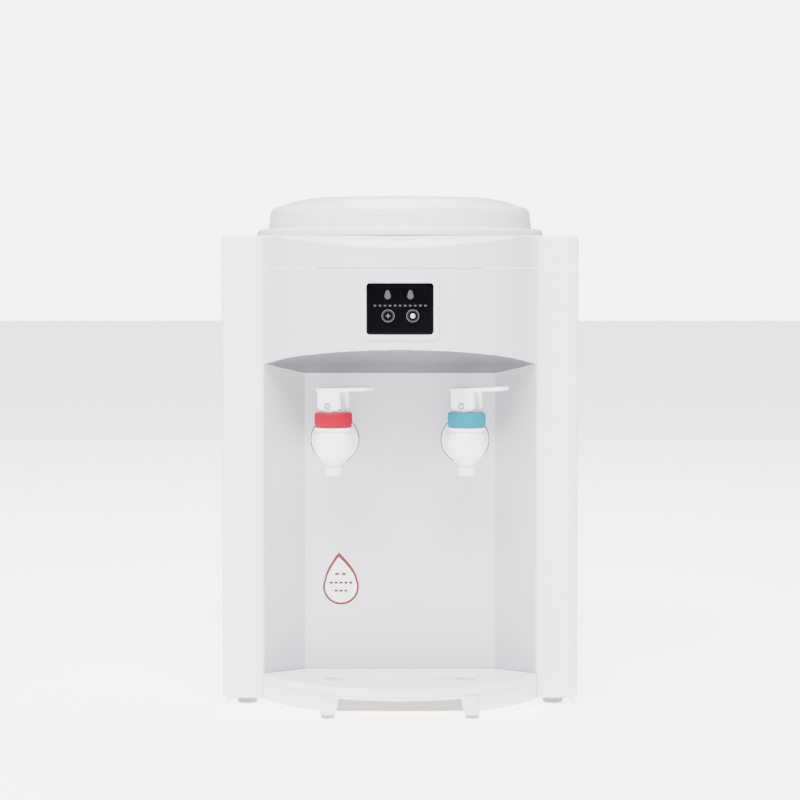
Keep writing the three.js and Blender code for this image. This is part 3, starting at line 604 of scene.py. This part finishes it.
def make_seat():
    profile = [
        (100.6, 376.5, 0), (100.6, 384.0, 1), (109.4, 384.2, 1), (110.2, TOP + GAP, 0.2),
        (122.0, TOP + GAP, 0.4), (122.0, 387.2, 1.3), (119.8, 388.9, 1.2), (112.4, 388.9, 1.6),
        (111.0, 403.6, 2.0), (108.6, 406.8, 2.2), (92.0, 412.2, 12), (77.0, 415.6, 5), (71.5, 412.4, 5),
        (58.0, 397.0, 6), (45.0, 389.0, 8), (35.0, 385.0, 3), (34.0, 381.0, 1.5), (34.0, 352.5, 1.5),
        (9.2, 352.5, 0.4), (9.0, 350.0, 0),
    ]
    seat = lathe("seat_shell", profile, (0, SEAT_Y, 0), SEAT, "seat", 180, 1.0)
    skirt = [(9.0, 350.0, 0), (36.5, 350.0, 0.5), (36.5, 382.5, 1), (69.0, 403.0, 1), (69.0, 350.6, 0.5),
             (71.5, 350.6, 0.5), (71.5, 409.5, 1), (76.0, 412.4, 1), (107.0, 403.9, 1), (109.6, 386.2, 0.5),
             (103.0, 386.2, 0.3), (103.0, 376.5, 0.5), (100.6, 376.5, 0)]
    under = lathe("seat_underside", skirt, (0, SEAT_Y, 0), SEAT, "seat", 120, 0.8)
    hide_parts("bottle_seat")
    probe = [(0, 342), (8.4, 342, 0.6), (8.4, 352.8, 0.1), (16, 352.8, 0.5), (16, 355, 0.8), (8.6, 357, 2),
             (7, 390, 3), (3.2, 397, 2), (0, 398)]
    spike = lathe("probe_spike", probe, (0, SEAT_Y, 0), TAP, "seat", 48)
    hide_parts("bottle_probe")
    # Four raised ribs run up the probe.
    for i in range(4):
        turn = math.pi / 4 + i * math.pi / 2
        ring = rounded_ring([(-0.9, -0.9), (0.9, -0.9), (0.9, 0.9), (-0.9, 0.9)], 0.4, 2)

        def place(p, turn=turn):
            out = 7.6 - 1.2 * (p[2] - 358) / 30 + p[0]
            return (out * math.cos(turn) - p[1] * math.sin(turn),
                    SEAT_Y + out * math.sin(turn) + p[1] * math.cos(turn), p[2])

        rib = slab(f"probe_rib_{i}", ring, edge(358.0, 388.0, 0.4, 0.4, 2), TAP, "seat", place)


# ---- Base and drip tray ----
def bow_points(inset, reach, step=2.0):
    """Points along the bowed front from left to right, moved inwards."""
    radius = BULGE_RADIUS - inset
    half = math.asin(reach / BULGE_RADIUS)
    count = int(2 * reach / step)
    line = []
    for i in range(count + 1):
        a = -half + 2 * half * i / count
        line.append((radius * math.sin(a), BULGE_CENTRE - radius * math.cos(a)))
    return line


def make_skirt():
    """The bowed skirt, with the finger slot arched over its middle."""
    line = bow_points(0, SKIRT_REACH, 1.5)
    bottom, top, corner = SKIRT_BOTTOM - 0.1, SKIRT_TOP + 0.1, 3.0
    rows = [(bottom, 0.9), (bottom + 0.3, 0.3), (bottom + 0.9, 0)]
    rows += [(z, 0) for z in (7.5, 10, 12, 14, 16)]
    rows += [(top - 0.7, 0), (top - 0.25, 0.08), (top, 0.3), (top, 2.5)]
    points = []
    for z, inset in rows:
        for x, y in line:
            low = bottom
            if abs(x) < SLOT_HALF:
                gone = max(0.0, abs(x) - (SLOT_HALF - corner))
                low = SLOT_TOP - corner + math.sqrt(max(0.0, corner**2 - gone**2))
            height = low + (z - bottom) * (top - low) / (top - bottom)
            scale = (BULGE_RADIUS - inset) / BULGE_RADIUS
            points.append((x * scale, BULGE_CENTRE + (y - BULGE_CENTRE) * scale, height))
    faces = strip_faces(len(rows), len(line), False)
    skirt = piece("base_skirt", points, faces, TRAY, weighted=False)
    shell = skirt.modifiers.new("wall", "SOLIDIFY")
    shell.thickness = 0.0022
    shell.offset = -1.0
    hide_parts("base")


def make_base():
    make_skirt()
    inner = 142.0
    ring = rounded_ring([(-inner, -84.0), (inner, -84.0), (inner, BACK - GAP), (-inner, BACK - GAP)], 3.0)
    floor = slab("base_floor", ring, edge(SKIRT_BOTTOM, 7.5, 0.6, 0.4), TRAY)
    bowed = bow_points(2.4, 110.6, 4.0)
    recessed = [(x, y) for x, y in bowed if abs(x) > 50.5]
    left = [p for p in recessed if p[0] < 0]
    right = [p for p in recessed if p[0] > 0]
    ring = left + [(-50.5, -133.8), (50.5, -133.8)] + right + [(110.0, -84.0), (-110.0, -84.0)]
    apron = slab("base_apron", ring, [(0, SKIRT_BOTTOM + 0.05), (0, 7.45)], TRAY)
    ring = rounded_ring([(-52.0, -134.0), (52.0, -134.0), (52.0, -131.6), (-52.0, -131.6)], 0.5, 2)
    wall = slab("slot_wall", ring, edge(SKIRT_BOTTOM, 17.4, 0.5, 0.3), SLOT_PAINTED_LIGHT)
    ring = [(x, y) for x, y in bow_points(2.4, 51.5, 3.0)] + [(52.0, -132.0), (-52.0, -132.0)]
    roof = slab("slot_roof", ring, [(0, SLOT_TOP + 0.1), (0, 17.4)], SLOT_PAINTED_LIGHT)
    for word, side in SIDES:
        profile = [(0, 2.8), (6.0, 2.8, 0.5), (6.0, 17.4, 0.5), (0, 17.4)]
        pillar = lathe(f"foot_pillar_{word}", profile, (side * PILLAR[0], PILLAR[1], 0), TRAY, segments=48)


def tray_ring(inset):
    """The tray's outline from above, counterclockwise, with rounded corners."""
    slack = 0.6 + inset
    lean = (COLUMN_INNER - RECESS_HALF) / (RECESS_BACK - FRONT)
    shift = slack * math.hypot(1, lean)
    back = RECESS_BACK - slack
    at_back = COLUMN_INNER - lean * (back - FRONT) - shift
    reach = TRAY_REACH
    while True:
        x, y = bow_points(inset, reach, 3.0)[-1]
        if COLUMN_INNER - lean * (y - FRONT) - shift >= x:
            break
        reach -= 0.25
    front = bow_points(inset, reach, 3.0)
    corner = max(1.0, 3.0 - inset * 0.3)
    rear = rounded_line([front[-1], (at_back, back, corner), (-at_back, back, corner), front[0]], corner)
    sides = [front[-1]]
    for a, b in zip(rear, rear[1:]):
        steps = max(1, int(math.dist(a, b) / 6))
        for i in range(1, steps + 1):
            sides.append((a[0] + (b[0] - a[0]) * i / steps, a[1] + (b[1] - a[1]) * i / steps))
    return front + sides[1:-1]


def make_tray():
    count = 2 * len(tray_ring(0))
    rings = []
    foot, top, ledge = SKIRT_TOP + 0.2, TRAY_TOP, GRILLE_TOP - 2.3
    wall = [(1.4, foot), (0.3, foot), (0.08, foot + 0.15), (0, foot + 0.5), (0, 21), (0, top - 1.4)]
    rim = [(0.05, top - 0.9), (0.35, top - 0.3), (0.9, top - 0.02), (1.6, top), (2.8, top),
           (3.4, top - 0.1), (3.8, top - 0.4), (4.0, top - 0.9)]
    hollow = [(4.05, ledge), (5.9, ledge - 0.1), (6.1, ledge - 0.5), (6.2, 14.0), (7.4, 12.4), (9.5, 12.0)]
    for inset, z in wall + rim + hollow:
        deep = z < ledge and inset > 5
        ring = resampled(tray_ring(inset), count)
        if deep:
            ring = [(x * DISH_SCALE, max(y, -119.0)) for x, y in ring]
        rings.append([(x, y, z) for x, y in ring])
    tray = ring_piece("tray_shell", rings, TRAY, "tray", last=True)
    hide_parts("drip_tray")
    # The dish hangs below the rim.
    bottom = []
    for inset, z in ((4.0, 18.9), (4.0, 11.0), (5.0, 9.9), (7.0, 9.5)):
        ring = [(x * DISH_SCALE, max(y, -122.0)) for x, y in resampled(tray_ring(inset), count)]
        bottom.append([(x, y, z) for x, y in ring])
    dish = ring_piece("tray_dish", bottom, TRAY, "tray", last=True, flip=True)
    make_grille(count)


def make_grille(count):
    """The flat plate over the dish, with a round cup place and drain hole under each tap."""
    ring = resampled(tray_ring(4.45), count)
    plate = slab("grille_plate", ring, edge(GRILLE_TOP - 2.1, GRILLE_TOP, 0.2, 0.5), TRAY, "grille")
    cutters = []
    for side in (-1, 1):
        profile = [(0, 15), (7.6, 15, 0), (7.6, 24.3, 0), (8.6, 25.0, 0), (8.6, 28, 0), (0, 28)]
        place = (side * TAP_X, HOLE_Y, 0)
        cutters.append(lathe(f"hole_cutter_{side}", profile, place, TRAY, "grille", 48, 0))
    for cutter in cutters:
        cut = plate.modifiers.new("hole", "BOOLEAN")
        cut.object = cutter
        cut.operation = "DIFFERENCE"
        cut.solver = "EXACT"
        plate.modifiers.move(len(plate.modifiers) - 1, 0)
    graph = bpy.context.evaluated_depsgraph_get()
    done = bpy.data.meshes.new_from_object(plate.evaluated_get(graph))
    plate.modifiers.clear()
    plate.data = done
    for cutter in cutters:
        bpy.data.objects.remove(cutter)
    done.set_sharp_from_angle(angle=math.radians(35))
    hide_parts("drip_grille")
    for word, side in SIDES:
        # A cross in each hole keeps large things out of the dish.
        for i in range(2):
            turn = math.pi / 2 * i

            def place(p, turn=turn, side=side):
                return (p[0] * math.cos(turn) - p[1] * math.sin(turn) + side * TAP_X,
                        p[0] * math.sin(turn) + p[1] * math.cos(turn) + HOLE_Y, p[2])

            ring = rounded_ring([(-7.7, -0.6), (7.7, -0.6), (7.7, 0.6), (-7.7, 0.6)], 0.2, 2)
            bar = slab(f"hole_bar_{word}_{i}", ring, edge(22.8, 24.0, 0.1, 0.3, 2), TRAY, "grille", place)
        low, high = GRILLE_TOP - 0.2, GRILLE_TOP + 0.35
        line = [(10.6, low), (10.8, high, 0.3), (11.8, high, 0.3), (12.0, low)]
        bead = lathe(f"cup_ring_{word}", line, (side * TAP_X, HOLE_Y, 0), TRAY, "grille", 72, 0.3)


# ---- Taps ----
def make_tap(name, x, colour):
    centre = (x, TAP_Y, TAP_LIFT)
    make_spout(name, centre)
    make_shank(name, x)
    make_collar(name, centre, colour)
    make_stem(name, centre)
    make_lever(name, x)


def make_spout(name, centre):
    """The ball with the spout below it and the bored neck that carries the collar."""
    spout = [(4.2, 210), (4.2, 187.7, 0.4), (6.8, 187.7, 0.7), (7.25, 189.5, 0.5), (7.25, 194.6, 0.6),
             (6.5, 195.4, 0.4), (6.5, 197.8, 0.5), (10.2, 198.1, 0.6), (10.2, 200.8, 0.5)]
    low, high = math.asin(-12.4 / BALL_RADIUS), math.asin(10.4 / BALL_RADIUS)
    ball = []
    for i in range(15):
        a = low + (high - low) * i / 14
        ball.append((BALL_RADIUS * math.cos(a), BALL_Z + BALL_RADIUS * math.sin(a), 0))
    neck = [(14.9, 224.0, 0.3), (14.9, 226.1, 0.3), (11.4, 226.1, 0.3), (11.4, 235, 0.3), (9.4, 235, 0.3),
            (9.4, 210, 0)]
    body = lathe(f"{name}_tap_shell", spout + ball + neck, centre, TAP, segments=96, radius=0.4)
    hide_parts(f"{name}_tap_body")


def make_shank(name, x):
    """The arm from the ball to the wall, the threaded shank behind it, and the escutcheon."""
    at_wall = (x, TAP_Y, BALL_Z + TAP_LIFT)
    depth = RECESS_BACK - TAP_Y
    line = [(0, 10.0), (9.6, 10.0, 0), (9.6, depth - 5, 1.5), (12.6, depth - 4.0, 1.2),
            (12.6, depth - 1.9, 0.5), (0, depth - 1.9)]
    neck = lathe(f"{name}_tap_neck", line, at_wall, TAP, segments=72, radius=0.6, along="y")
    line = [(0, depth), (7.8, depth, 0.1)]
    pitch, at = 1.6, depth + 1.0
    while at < 61.0:
        line += [(7.8, at, 0.05), (7.1, at + pitch / 2, 0.1)]
        at += pitch
    line += [(7.8, 61.5, 0.2), (7.0, 62.0, 0.2), (3.2, 62.0, 0.2)]
    line += [(3.2, 67.6, 0.3), (2, 68.0, 0.2), (2, 60, 0)]
    shank = lathe(f"{name}_tap_shank", line, at_wall, TAP, segments=48, radius=0.2, along="y")
    line = [(8.2, depth - 1.9), (17.5, depth - 1.9, 0.6), (19.3, depth - 0.9, 0.5),
            (19.3, depth + 0.6, 0.2), (8.2, depth + 0.6)]
    plate = lathe(f"{name}_escutcheon_disc", line, at_wall, TAP, segments=96, radius=0.5, along="y")
    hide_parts(f"{name}_tap_escutcheon")
    # A dark ring on the wall round each escutcheon is painted shadow, in place of the gap round it.
    joint = []
    for r in (19.2, 20.1):
        joint += [(x + r * math.cos(a), RECESS_BACK - 0.1, at_wall[2] + r * math.sin(a)) for a in turns(96)]
    shadow = piece(f"{name}_escutcheon_joint_shadow", joint, strip_faces(2, 96, True), SHADE, weighted=False)


def make_stem(name, centre):
    line = [(0, 222), (3.2, 222, 0), (3.2, 226, 0.3), (7.6, 226, 0.3), (7.6, 228, 0.4), (3.2, 228, 0.4),
            (3.2, PIN_Z + 4.2, 1.2), (0, PIN_Z + 4.4)]
    stem = lathe(f"{name}_stem_rod", line, centre, TAP, f"{name}_valve", 40, 0.4)
    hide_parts(f"{name}_tap_stem")
    line = [(3.8, 238.7), (9.4, 238.7, 0.2), (9.4, 239.4, 0.3), (3.8, 239.4, 0.2), (3.8, 238.7)]
    washer = lathe(f"{name}_washer_ring", line, centre, TAP, segments=64, radius=0.2)
    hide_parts(f"{name}_lever_washer")


def make_collar(name, centre, colour):
    """The coloured screw collar: fine upright grips round its side, and a plain band at the foot."""
    r, z0, z1 = 15.25, 226.4, 238.4
    band = [(11.8, z0), (14.5, z0), (14.9, z0 + 0.4), (14.9, z0 + 2.2), (15.0, z0 + 2.5)]
    side = [(r, z0 + 3.0), (r, z0 + 6), (r, z1 - 2.6), (r - 0.15, z1 - 1.6), (r - 0.6, z1 - 0.7)]
    top = [(r - 1.4, z1 - 0.15), (r - 2.4, z1), (9.5, z1)]
    top += [(9.0, z1 - 0.3), (4.0, z1 - 0.3), (4.0, z1 - 2.2)]
    heights = band + side + top
    grips, segments = 54, 432
    points = []
    for radius, z in heights:
        grip = 0.0
        if z0 + 2.8 < z < z1 - 1.0 and radius > 14.6:
            grip = 0.32
        for a in turns(segments):
            out = radius - grip * (0.5 + 0.5 * math.cos(a * grips)) ** 2
            points.append((centre[0] + out * math.cos(a), centre[1] + out * math.sin(a), z + centre[2]))
    faces = strip_faces(len(heights), segments, True)
    collar = piece(f"{name}_collar_ring", points, faces, colour, weighted=False)
    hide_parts(f"{name}_tap_collar")


def lever_place(x):
    """Turns a point of a lever that points along -Y to where the lever stands."""
    def place(p):
        c, s = math.cos(LEVER_TURN), math.sin(LEVER_TURN)
        return (x + p[0] * c - p[1] * s, TAP_Y + p[0] * s + p[1] * c, p[2] + TAP_LIFT)
    return place


def make_lever(name, x):
    stand = lever_place(x)
    handle = f"{name}_handle"
    outline = [(-9, -34.4), (9, -34.4), (9, 12.6), (-9, 12.6)]
    even = subdivided(rounded_ring(outline, 4.2, 10), 2.5)

    def tilted(p):
        c, s = math.cos(LEVER_TILT), math.sin(LEVER_TILT)
        return stand((p[0], p[1] * c + p[2] * s, 255.2 - p[1] * s + p[2] * c))

    profile = edge(0, 2.95, 0.7, 0.9, 4) + [(2.0, 2.95), (2.6, 2.75), (3.6, 2.6), (5.0, 2.55)]
    top = slab(f"{name}_lever_plate", even, profile, TAP, handle, tilted)
    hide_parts(f"{name}_lever")
    corners = [(9.7, 242.6), (9.7, 255.6), (-9.0, 256.6), (-10, 241.8), (-8, 239.8), (6.7, 239.8)]
    side = rounded_ring(corners, 1.6, 5)
    for word, x0, x1 in (("inner", -9.0, -4.0), ("outer", 4.0, 9.0)):
        def place(p, x0=x0):
            return stand((x0 + p[2], p[0], p[1]))
        cheek = slab(f"{name}_lever_cheek_{word}", side, edge(0, x1 - x0, 0.6, 0.6, 3), TAP, handle, place)
    roof_ring = rounded_ring([(-4.2, -8.8), (4.2, -8.8), (4.2, 9.4), (-4.2, 9.4)], 0.3, 2)
    roof = slab(f"{name}_lever_web", roof_ring, edge(254.0, 256.2, 0.3, 0.2, 2), TAP, handle, stand)
    for word, x0, x1 in (("inner", -9.15, -8.6), ("outer", 8.6, 9.15)):
        def lay(p):
            return stand((p[0], -p[1], PIN_Z + p[2]))
        line = [(0, x0), (1.9, x0, 0.15), (1.9, x1, 0.15), (0, x1)]
        valve = f"{name}_valve"
        head = lathe(f"{name}_pin_head_{word}", line, (0, 0, 0), CHROME, valve, 32, 0.15, along="x")
        # A dark ring round each pin head is painted shade, in place of the shaded bore round the pin.
        line = [(2.0, x0 + 0.1), (2.7, x0 + 0.1), (2.7, x1 - 0.1), (2.0, x1 - 0.1), (2.0, x0 + 0.1)]
        bore_shade = lathe(f"{name}_pin_bore_shade_{word}", line, (0, 0, 0), SHADE, handle, 32, 0, along="x")
        for made in (head, bore_shade):
            for vertex in made.data.vertices:
                vertex.co = [c * 0.001 for c in lay([c * 1000 for c in vertex.co])]


# ---- Display and sticker ----
def on_bow(x, z, stands):
    """A point over the bowed front at a height, standing proud of it by stands."""
    reach = BULGE_RADIUS + stands
    a = math.asin(x / BULGE_RADIUS)
    return (reach * math.sin(a), BULGE_CENTRE - reach * math.cos(a), z)


def bowed_slab(name, ring, profile, material):
    """A flat ring drawn in X and Z, laid on the bowed front; profile gives (inset, how far it stands)."""
    rings = []
    for inset, stands in profile:
        rings.append([on_bow(x, z, stands) for x, z in inset_ring(ring, inset)])
    # The face is filled by shrinking the outline in steps, so that it follows the bow.
    inset, stands = profile[-1]
    last = inset_ring(ring, inset)
    middle = np.mean(np.array(last), axis=0)
    for i in range(1, 13):
        t = 1 - i / 12 * 0.98
        shrunk = [(middle[0] + (x - middle[0]) * t, middle[1] + (z - middle[1]) * t) for x, z in last]
        rings.append([on_bow(x, z, stands) for x, z in shrunk])
    made = ring_piece(name, rings, material, first=True, last=True, weighted=False)
    return made


def fine_ring(corners, radius, step=1.5):
    return subdivided(rounded_ring(corners, radius, 8), step)


def rect(cx, cz, width, height):
    w, h = width / 2, height / 2
    return [(cx - w, cz - h), (cx + w, cz - h), (cx + w, cz + h), (cx - w, cz + h)]


def ring_mark(name, cx, cz, radius, line, material):
    points = []
    count = 48
    for r in (radius - line, radius):
        points += [on_bow(cx + r * math.cos(a), cz + r * math.sin(a), MARK_STANDS) for a in turns(count)]
    mark = piece(name, points, strip_faces(2, count, True), material, weighted=False)


def disc_mark(name, cx, cz, outline, material):
    """A filled mark round a centre; outline gives (distance, angle) all round."""
    rings = []
    for t in (1.0, 0.75, 0.5, 0.25, 0.02):
        shrunk = [(cx + r * t * math.cos(a), cz + r * t * math.sin(a)) for r, a in outline]
        rings.append([on_bow(x, z, MARK_STANDS) for x, z in shrunk])
    mark = ring_piece(name, rings, material, last=True, weighted=False)


def make_display():
    z = DISPLAY_Z
    outer = resampled(fine_ring(rect(0, z, *BEZEL_SIZE), 5.0), 240)
    inner = resampled(fine_ring(rect(0, z, *BEZEL_HOLE), 3.2), 240)
    rings = []
    for inset, stands in ((0.0, 0.0), (0.05, 0.5), (0.5, 1.1), (1.3, 1.4), (2.2, 1.48)):
        rings.append([on_bow(x, h, stands) for x, h in inset_ring(outer, inset)])
    for grow, stands in ((1.2, 1.48), (0.4, 1.35), (0.0, 0.9), (0.0, 0.2)):
        rings.append([on_bow(x, h, stands) for x, h in inset_ring(inner, -grow)])
    # The bezel frame takes the bowed front's painted shade.
    bezel = ring_piece("bezel_frame", rings, PANEL_PAINTED_SHADE, weighted=False)
    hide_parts("display_bezel")
    glass_ring = fine_ring(rect(0, z, *WINDOW_SIZE), 2.7)
    glass_edge = [(0, -1.4), (0, 0.6), (0.15, 0.82), (0.4, 0.9)]
    glass = bowed_slab("window_glass", glass_ring, glass_edge, BLACK)
    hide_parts("display_window")
    make_marks(z)
    board = bpy.data.objects["indicator_board"]
    board.data.materials[0] = BOARD


def make_marks(z):
    """The display's marks: two indicator places below, and plain marks where a name would be."""
    # Two indicator places: a four-pointed star and a lit dot, each in a double ring.
    lamp_z = z - 5.4
    for word, x in zip(("left", "right"), LAMP_X):
        ring_mark(f"mark_ring_{word}", x, lamp_z, 5.0, 0.5, PRINT)
        ring_mark(f"mark_inner_ring_{word}", x, lamp_z, 3.9, 0.25, DIM_PRINT)
    star = [(2.4 / (1 + 1.6 * abs(math.sin(2 * a))), a) for a in turns(24)]
    disc_mark("mark_star", LAMP_X[0], lamp_z, star, PRINT)
    disc_mark("mark_dot", LAMP_X[1], lamp_z, [(1.9, a) for a in turns(32)], GLOW)
    # Two water drops stand over a row of short dashes.
    drop = [(2.5 + 2.3 * max(0.0, math.sin(a)) ** 6, a) for a in turns(40)]
    for word, x in (("left", -9.6), ("right", 8.0)):
        disc_mark(f"mark_drop_{word}", x, z + 10.0, drop, DIM_PRINT)
    dash = [(1.0 / max(abs(math.cos(a)), abs(math.sin(a)) * 1.5), a) for a in np.arange(0, 6.28, 0.262)]
    for i in range(11):
        disc_mark(f"mark_dash_{i}", -19.4 + 3.9 * i, z + 2.6, dash, DIM_PRINT)


def teardrop(shrink):
    """The label's outline: a round foot drawn up to a point that leans a little to the left."""
    cx, low, high, half = STICKER_X, 79.0, 122.5, 14.9
    r, tip, round_z = half - shrink, high - shrink * 2.2, low + half
    points = []
    for i in range(41):
        a = math.radians(-205 + 230 * i / 40)
        points.append((cx + r * math.cos(a), round_z + r * math.sin(a)))
    start, end, lead = points[-1], points[0], (cx - 1.8, tip)
    bends = ((start[0] - 0.8, round_z + r * 0.95), (end[0] + 0.8, round_z + r * 0.95))
    for (ax, az), (bx, bz), (dx, dz) in ((start, bends[0], lead), (lead, bends[1], end)):
        for i in range(0 if ax == lead[0] else 1, 14):
            t = i / 14
            u = 1 - t
            x = u * u * ax + 2 * t * u * bx + t * t * dx
            points.append((x, u * u * az + 2 * t * u * bz + t * t * dz))
    return points


def make_sticker():
    """A thin teardrop label on the dispensing wall, with plain generic bars in place of words."""
    y = RECESS_BACK - 0.12
    outer, inner = teardrop(0.0), teardrop(1.9)
    points = [(x, y, z) for x, z in outer + inner]
    line = piece("sticker_line", points, strip_faces(2, len(outer), True), STICKER_RED, weighted=False)
    points = [(x, RECESS_BACK - 0.08, z) for x, z in teardrop(0.6)]
    film = piece("sticker_film", points, [tuple(range(len(points)))], FILM, weighted=False)
    bars = [(-3.2, 104.4, 3.6), (2.4, 104.4, 3.6)]
    for z, count in ((97.2, 5), (90.6, 3)):
        bars += [(-8.0 + 2.0 * (5 - count) + 4.0 * i, z, 2.8) for i in range(count)]
    for i, (dx, z, width) in enumerate(bars):
        ring = rounded_ring(rect(STICKER_X + dx, z, width, 2.0), 0.5, 3)
        bar = [(px, y, pz) for px, pz in ring]
        face = tuple(range(len(ring)))
        piece(f"sticker_bar_{i}", bar, [face], STICKER_RED, weighted=False)


# ---- Back, feet and inner pieces ----
def give(material, *nodes):
    for node in nodes:
        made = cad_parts[node]
        made.data.materials.clear()
        made.data.materials.append(material)


def soften(width, *nodes):
    """Rounds the edges of CAD nodes a little."""
    for node in nodes:
        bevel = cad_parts[node].modifiers.new("edge", "BEVEL")
        bevel.width = width
        bevel.segments = 2
        bevel.limit_method = "ANGLE"


def make_feet():
    for word, side in SIDES:
        places = {f"front_foot_{word}": (side * PILLAR[0], PILLAR[1], 5.4, 2.7)}
        places[f"side_foot_{word}"] = (side * PAD_X, -72.0, 8.5, 4.7)
        places[f"rear_foot_{word}"] = (side * PAD_X, 124.0, 8.5, 4.7)
        for node, (x, y, r, top) in places.items():
            line = [(0, 0.25), (r * 0.45, 0.25, 0.2), (r * 0.55, 0.0, 0.2), (r - 0.6, 0.0, 0.5),
                    (r - 0.2, 1.0, 0.3), (r, top, 0.2), (0, top)]
            pad = lathe(f"{node}_pad", line, (x, y, 0), RUBBER, segments=48, radius=0.3)
            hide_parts(node)


def make_back():
    give(SHEET, "back_cover")
    soften(0.0003, "back_cover")
    # A raised bead frames each group of vent slots.
    for word, side in SIDES:
        outer = fine_ring(rect(side * 48, 168, 76, 118), 5.0)
        rings = []
        for inset, y in ((0, 144.0), (0.2, 144.6), (1.0, 145.0), (2.0, 145.0), (2.8, 144.6), (3.0, 144.0)):
            rings.append([(x, y, z) for x, z in inset_ring(outer, inset)])
        bead = ring_piece(f"vent_bead_{word}", rings, SHEET, flip=True, weighted=False)
    give(NYLON, "switch_housing", "cord_gland")
    give(SWITCH, "switch_rocker")
    give(TAP, "drain_spigot")
    soften(0.00035, "switch_housing", "cord_gland", "switch_rocker", "drain_spigot")
    make_cap()
    for word, side in SIDES:
        for level, z in (("lower", 30), ("upper", 330)):
            make_screw(f"back_screw_{level}_{word}", side * 134.0, z)


def make_cap():
    """The drain cap, with grips round its side and a bar across its face."""
    line = [(0, 5.2), (6.8, 5.2, 0.3), (6.8, 0.3, 0.3), (10.2, 0.3, 0.4), (10.5, 1.0, 0.3)]
    line += [(10.5, 6.4, 0.6), (9.6, 7.5, 0.6), (0, 7.5)]
    cap = lathe("cap_shell", line, (0, CAP_Y, CAP_Z), TAP, "cap", 96, 0.4, along="y")
    centre = CAP_Z / 1000
    for vertex in cap.data.vertices:
        x, z = vertex.co.x, vertex.co.z - centre
        far = math.hypot(x, z)
        if far > 0.0103 and 0.145 < vertex.co.y < 0.1508:
            turn = math.atan2(z, x)
            shrink = 1 - 0.03 * (0.5 + 0.5 * math.cos(turn * 24))
            vertex.co.x, vertex.co.z = x * shrink, centre + z * shrink
    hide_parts("drain_cap")
    ring = rounded_ring([(-8.5, -1.2), (8.5, -1.2), (8.5, 1.2), (-8.5, 1.2)], 0.8, 4)

    def lay(p):
        return (p[0], 151.2 + p[2], CAP_Z + p[1])

    grip = slab("cap_grip", ring, [(0, -0.2), (0.15, 0.2), (0.5, 0.3)], TAP, "cap", lay)


def make_screw(node, x, z):
    """A pan-head screw with a cross recess."""
    rings = []
    around = turns(48)
    for out, y in ((3.6, 144.3), (3.6, 145.0), (3.3, 145.6), (2.6, 145.9), (2.0, 146.0)):
        rings.append([(x + out * math.cos(a), y, z - out * math.sin(a)) for a in around])
    for deep, scale in ((146.0, 1.0), (145.0, 0.85)):
        ring = []
        for a in around:
            arm = abs(math.cos(2 * a)) ** 6
            out = (0.45 + 1.35 * arm) * scale
            ring.append((x + out * math.cos(a), deep, z - out * math.sin(a)))
        rings.append(ring)
    head = ring_piece(f"{node}_head", rings, CHROME, first=True, last=True, sharp=40, weighted=False)
    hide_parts(node)


def dress_inner_nodes():
    give(SILICONE, "seat_gasket", "cold_hose", "feed_hose", "hot_hose", "drain_hose")
    give(SILICONE, "hot_valve_plug", "cold_valve_plug")
    give(TRAY, "reservoir")
    give(STEEL, "hot_tank", "heating_element", "control_thermostat", "safety_thermostat")
    give(FOAM, "hot_tank_jacket")
    give(TAP, "hot_tap_nut", "cold_tap_nut")
    give(CHROME, "hot_lever_pin", "cold_lever_pin")
    soften(0.0005, "reservoir", "hot_tank", "hot_tap_nut", "cold_tap_nut")
    soften(0.0005, "control_thermostat", "safety_thermostat")


def make_floor():
    mesh = bpy.data.meshes.new("studio_floor")
    mesh.from_pydata([(-12, -12, 0), (12, -12, 0), (12, 12, 0), (-12, 12, 0)], [], [(0, 1, 2, 3)])
    floor = bpy.data.objects.new("studio_floor", mesh)
    floor.location.z = -0.0002
    bpy.context.scene.collection.objects.link(floor)
    mesh.materials.append(surface("studio_floor", (0.93, 0.93, 0.94), 0.6, 0.03, 0.005, extra=glow(3.0)))


make_camera()
make_lights()
make_front()
make_sides()
make_top()
make_seat()
make_base()
make_tray()
make_tap("hot", -TAP_X, HOT)
make_tap("cold", TAP_X, COLD)
make_display()
make_sticker()
make_feet()
make_back()
dress_inner_nodes()
make_floor()
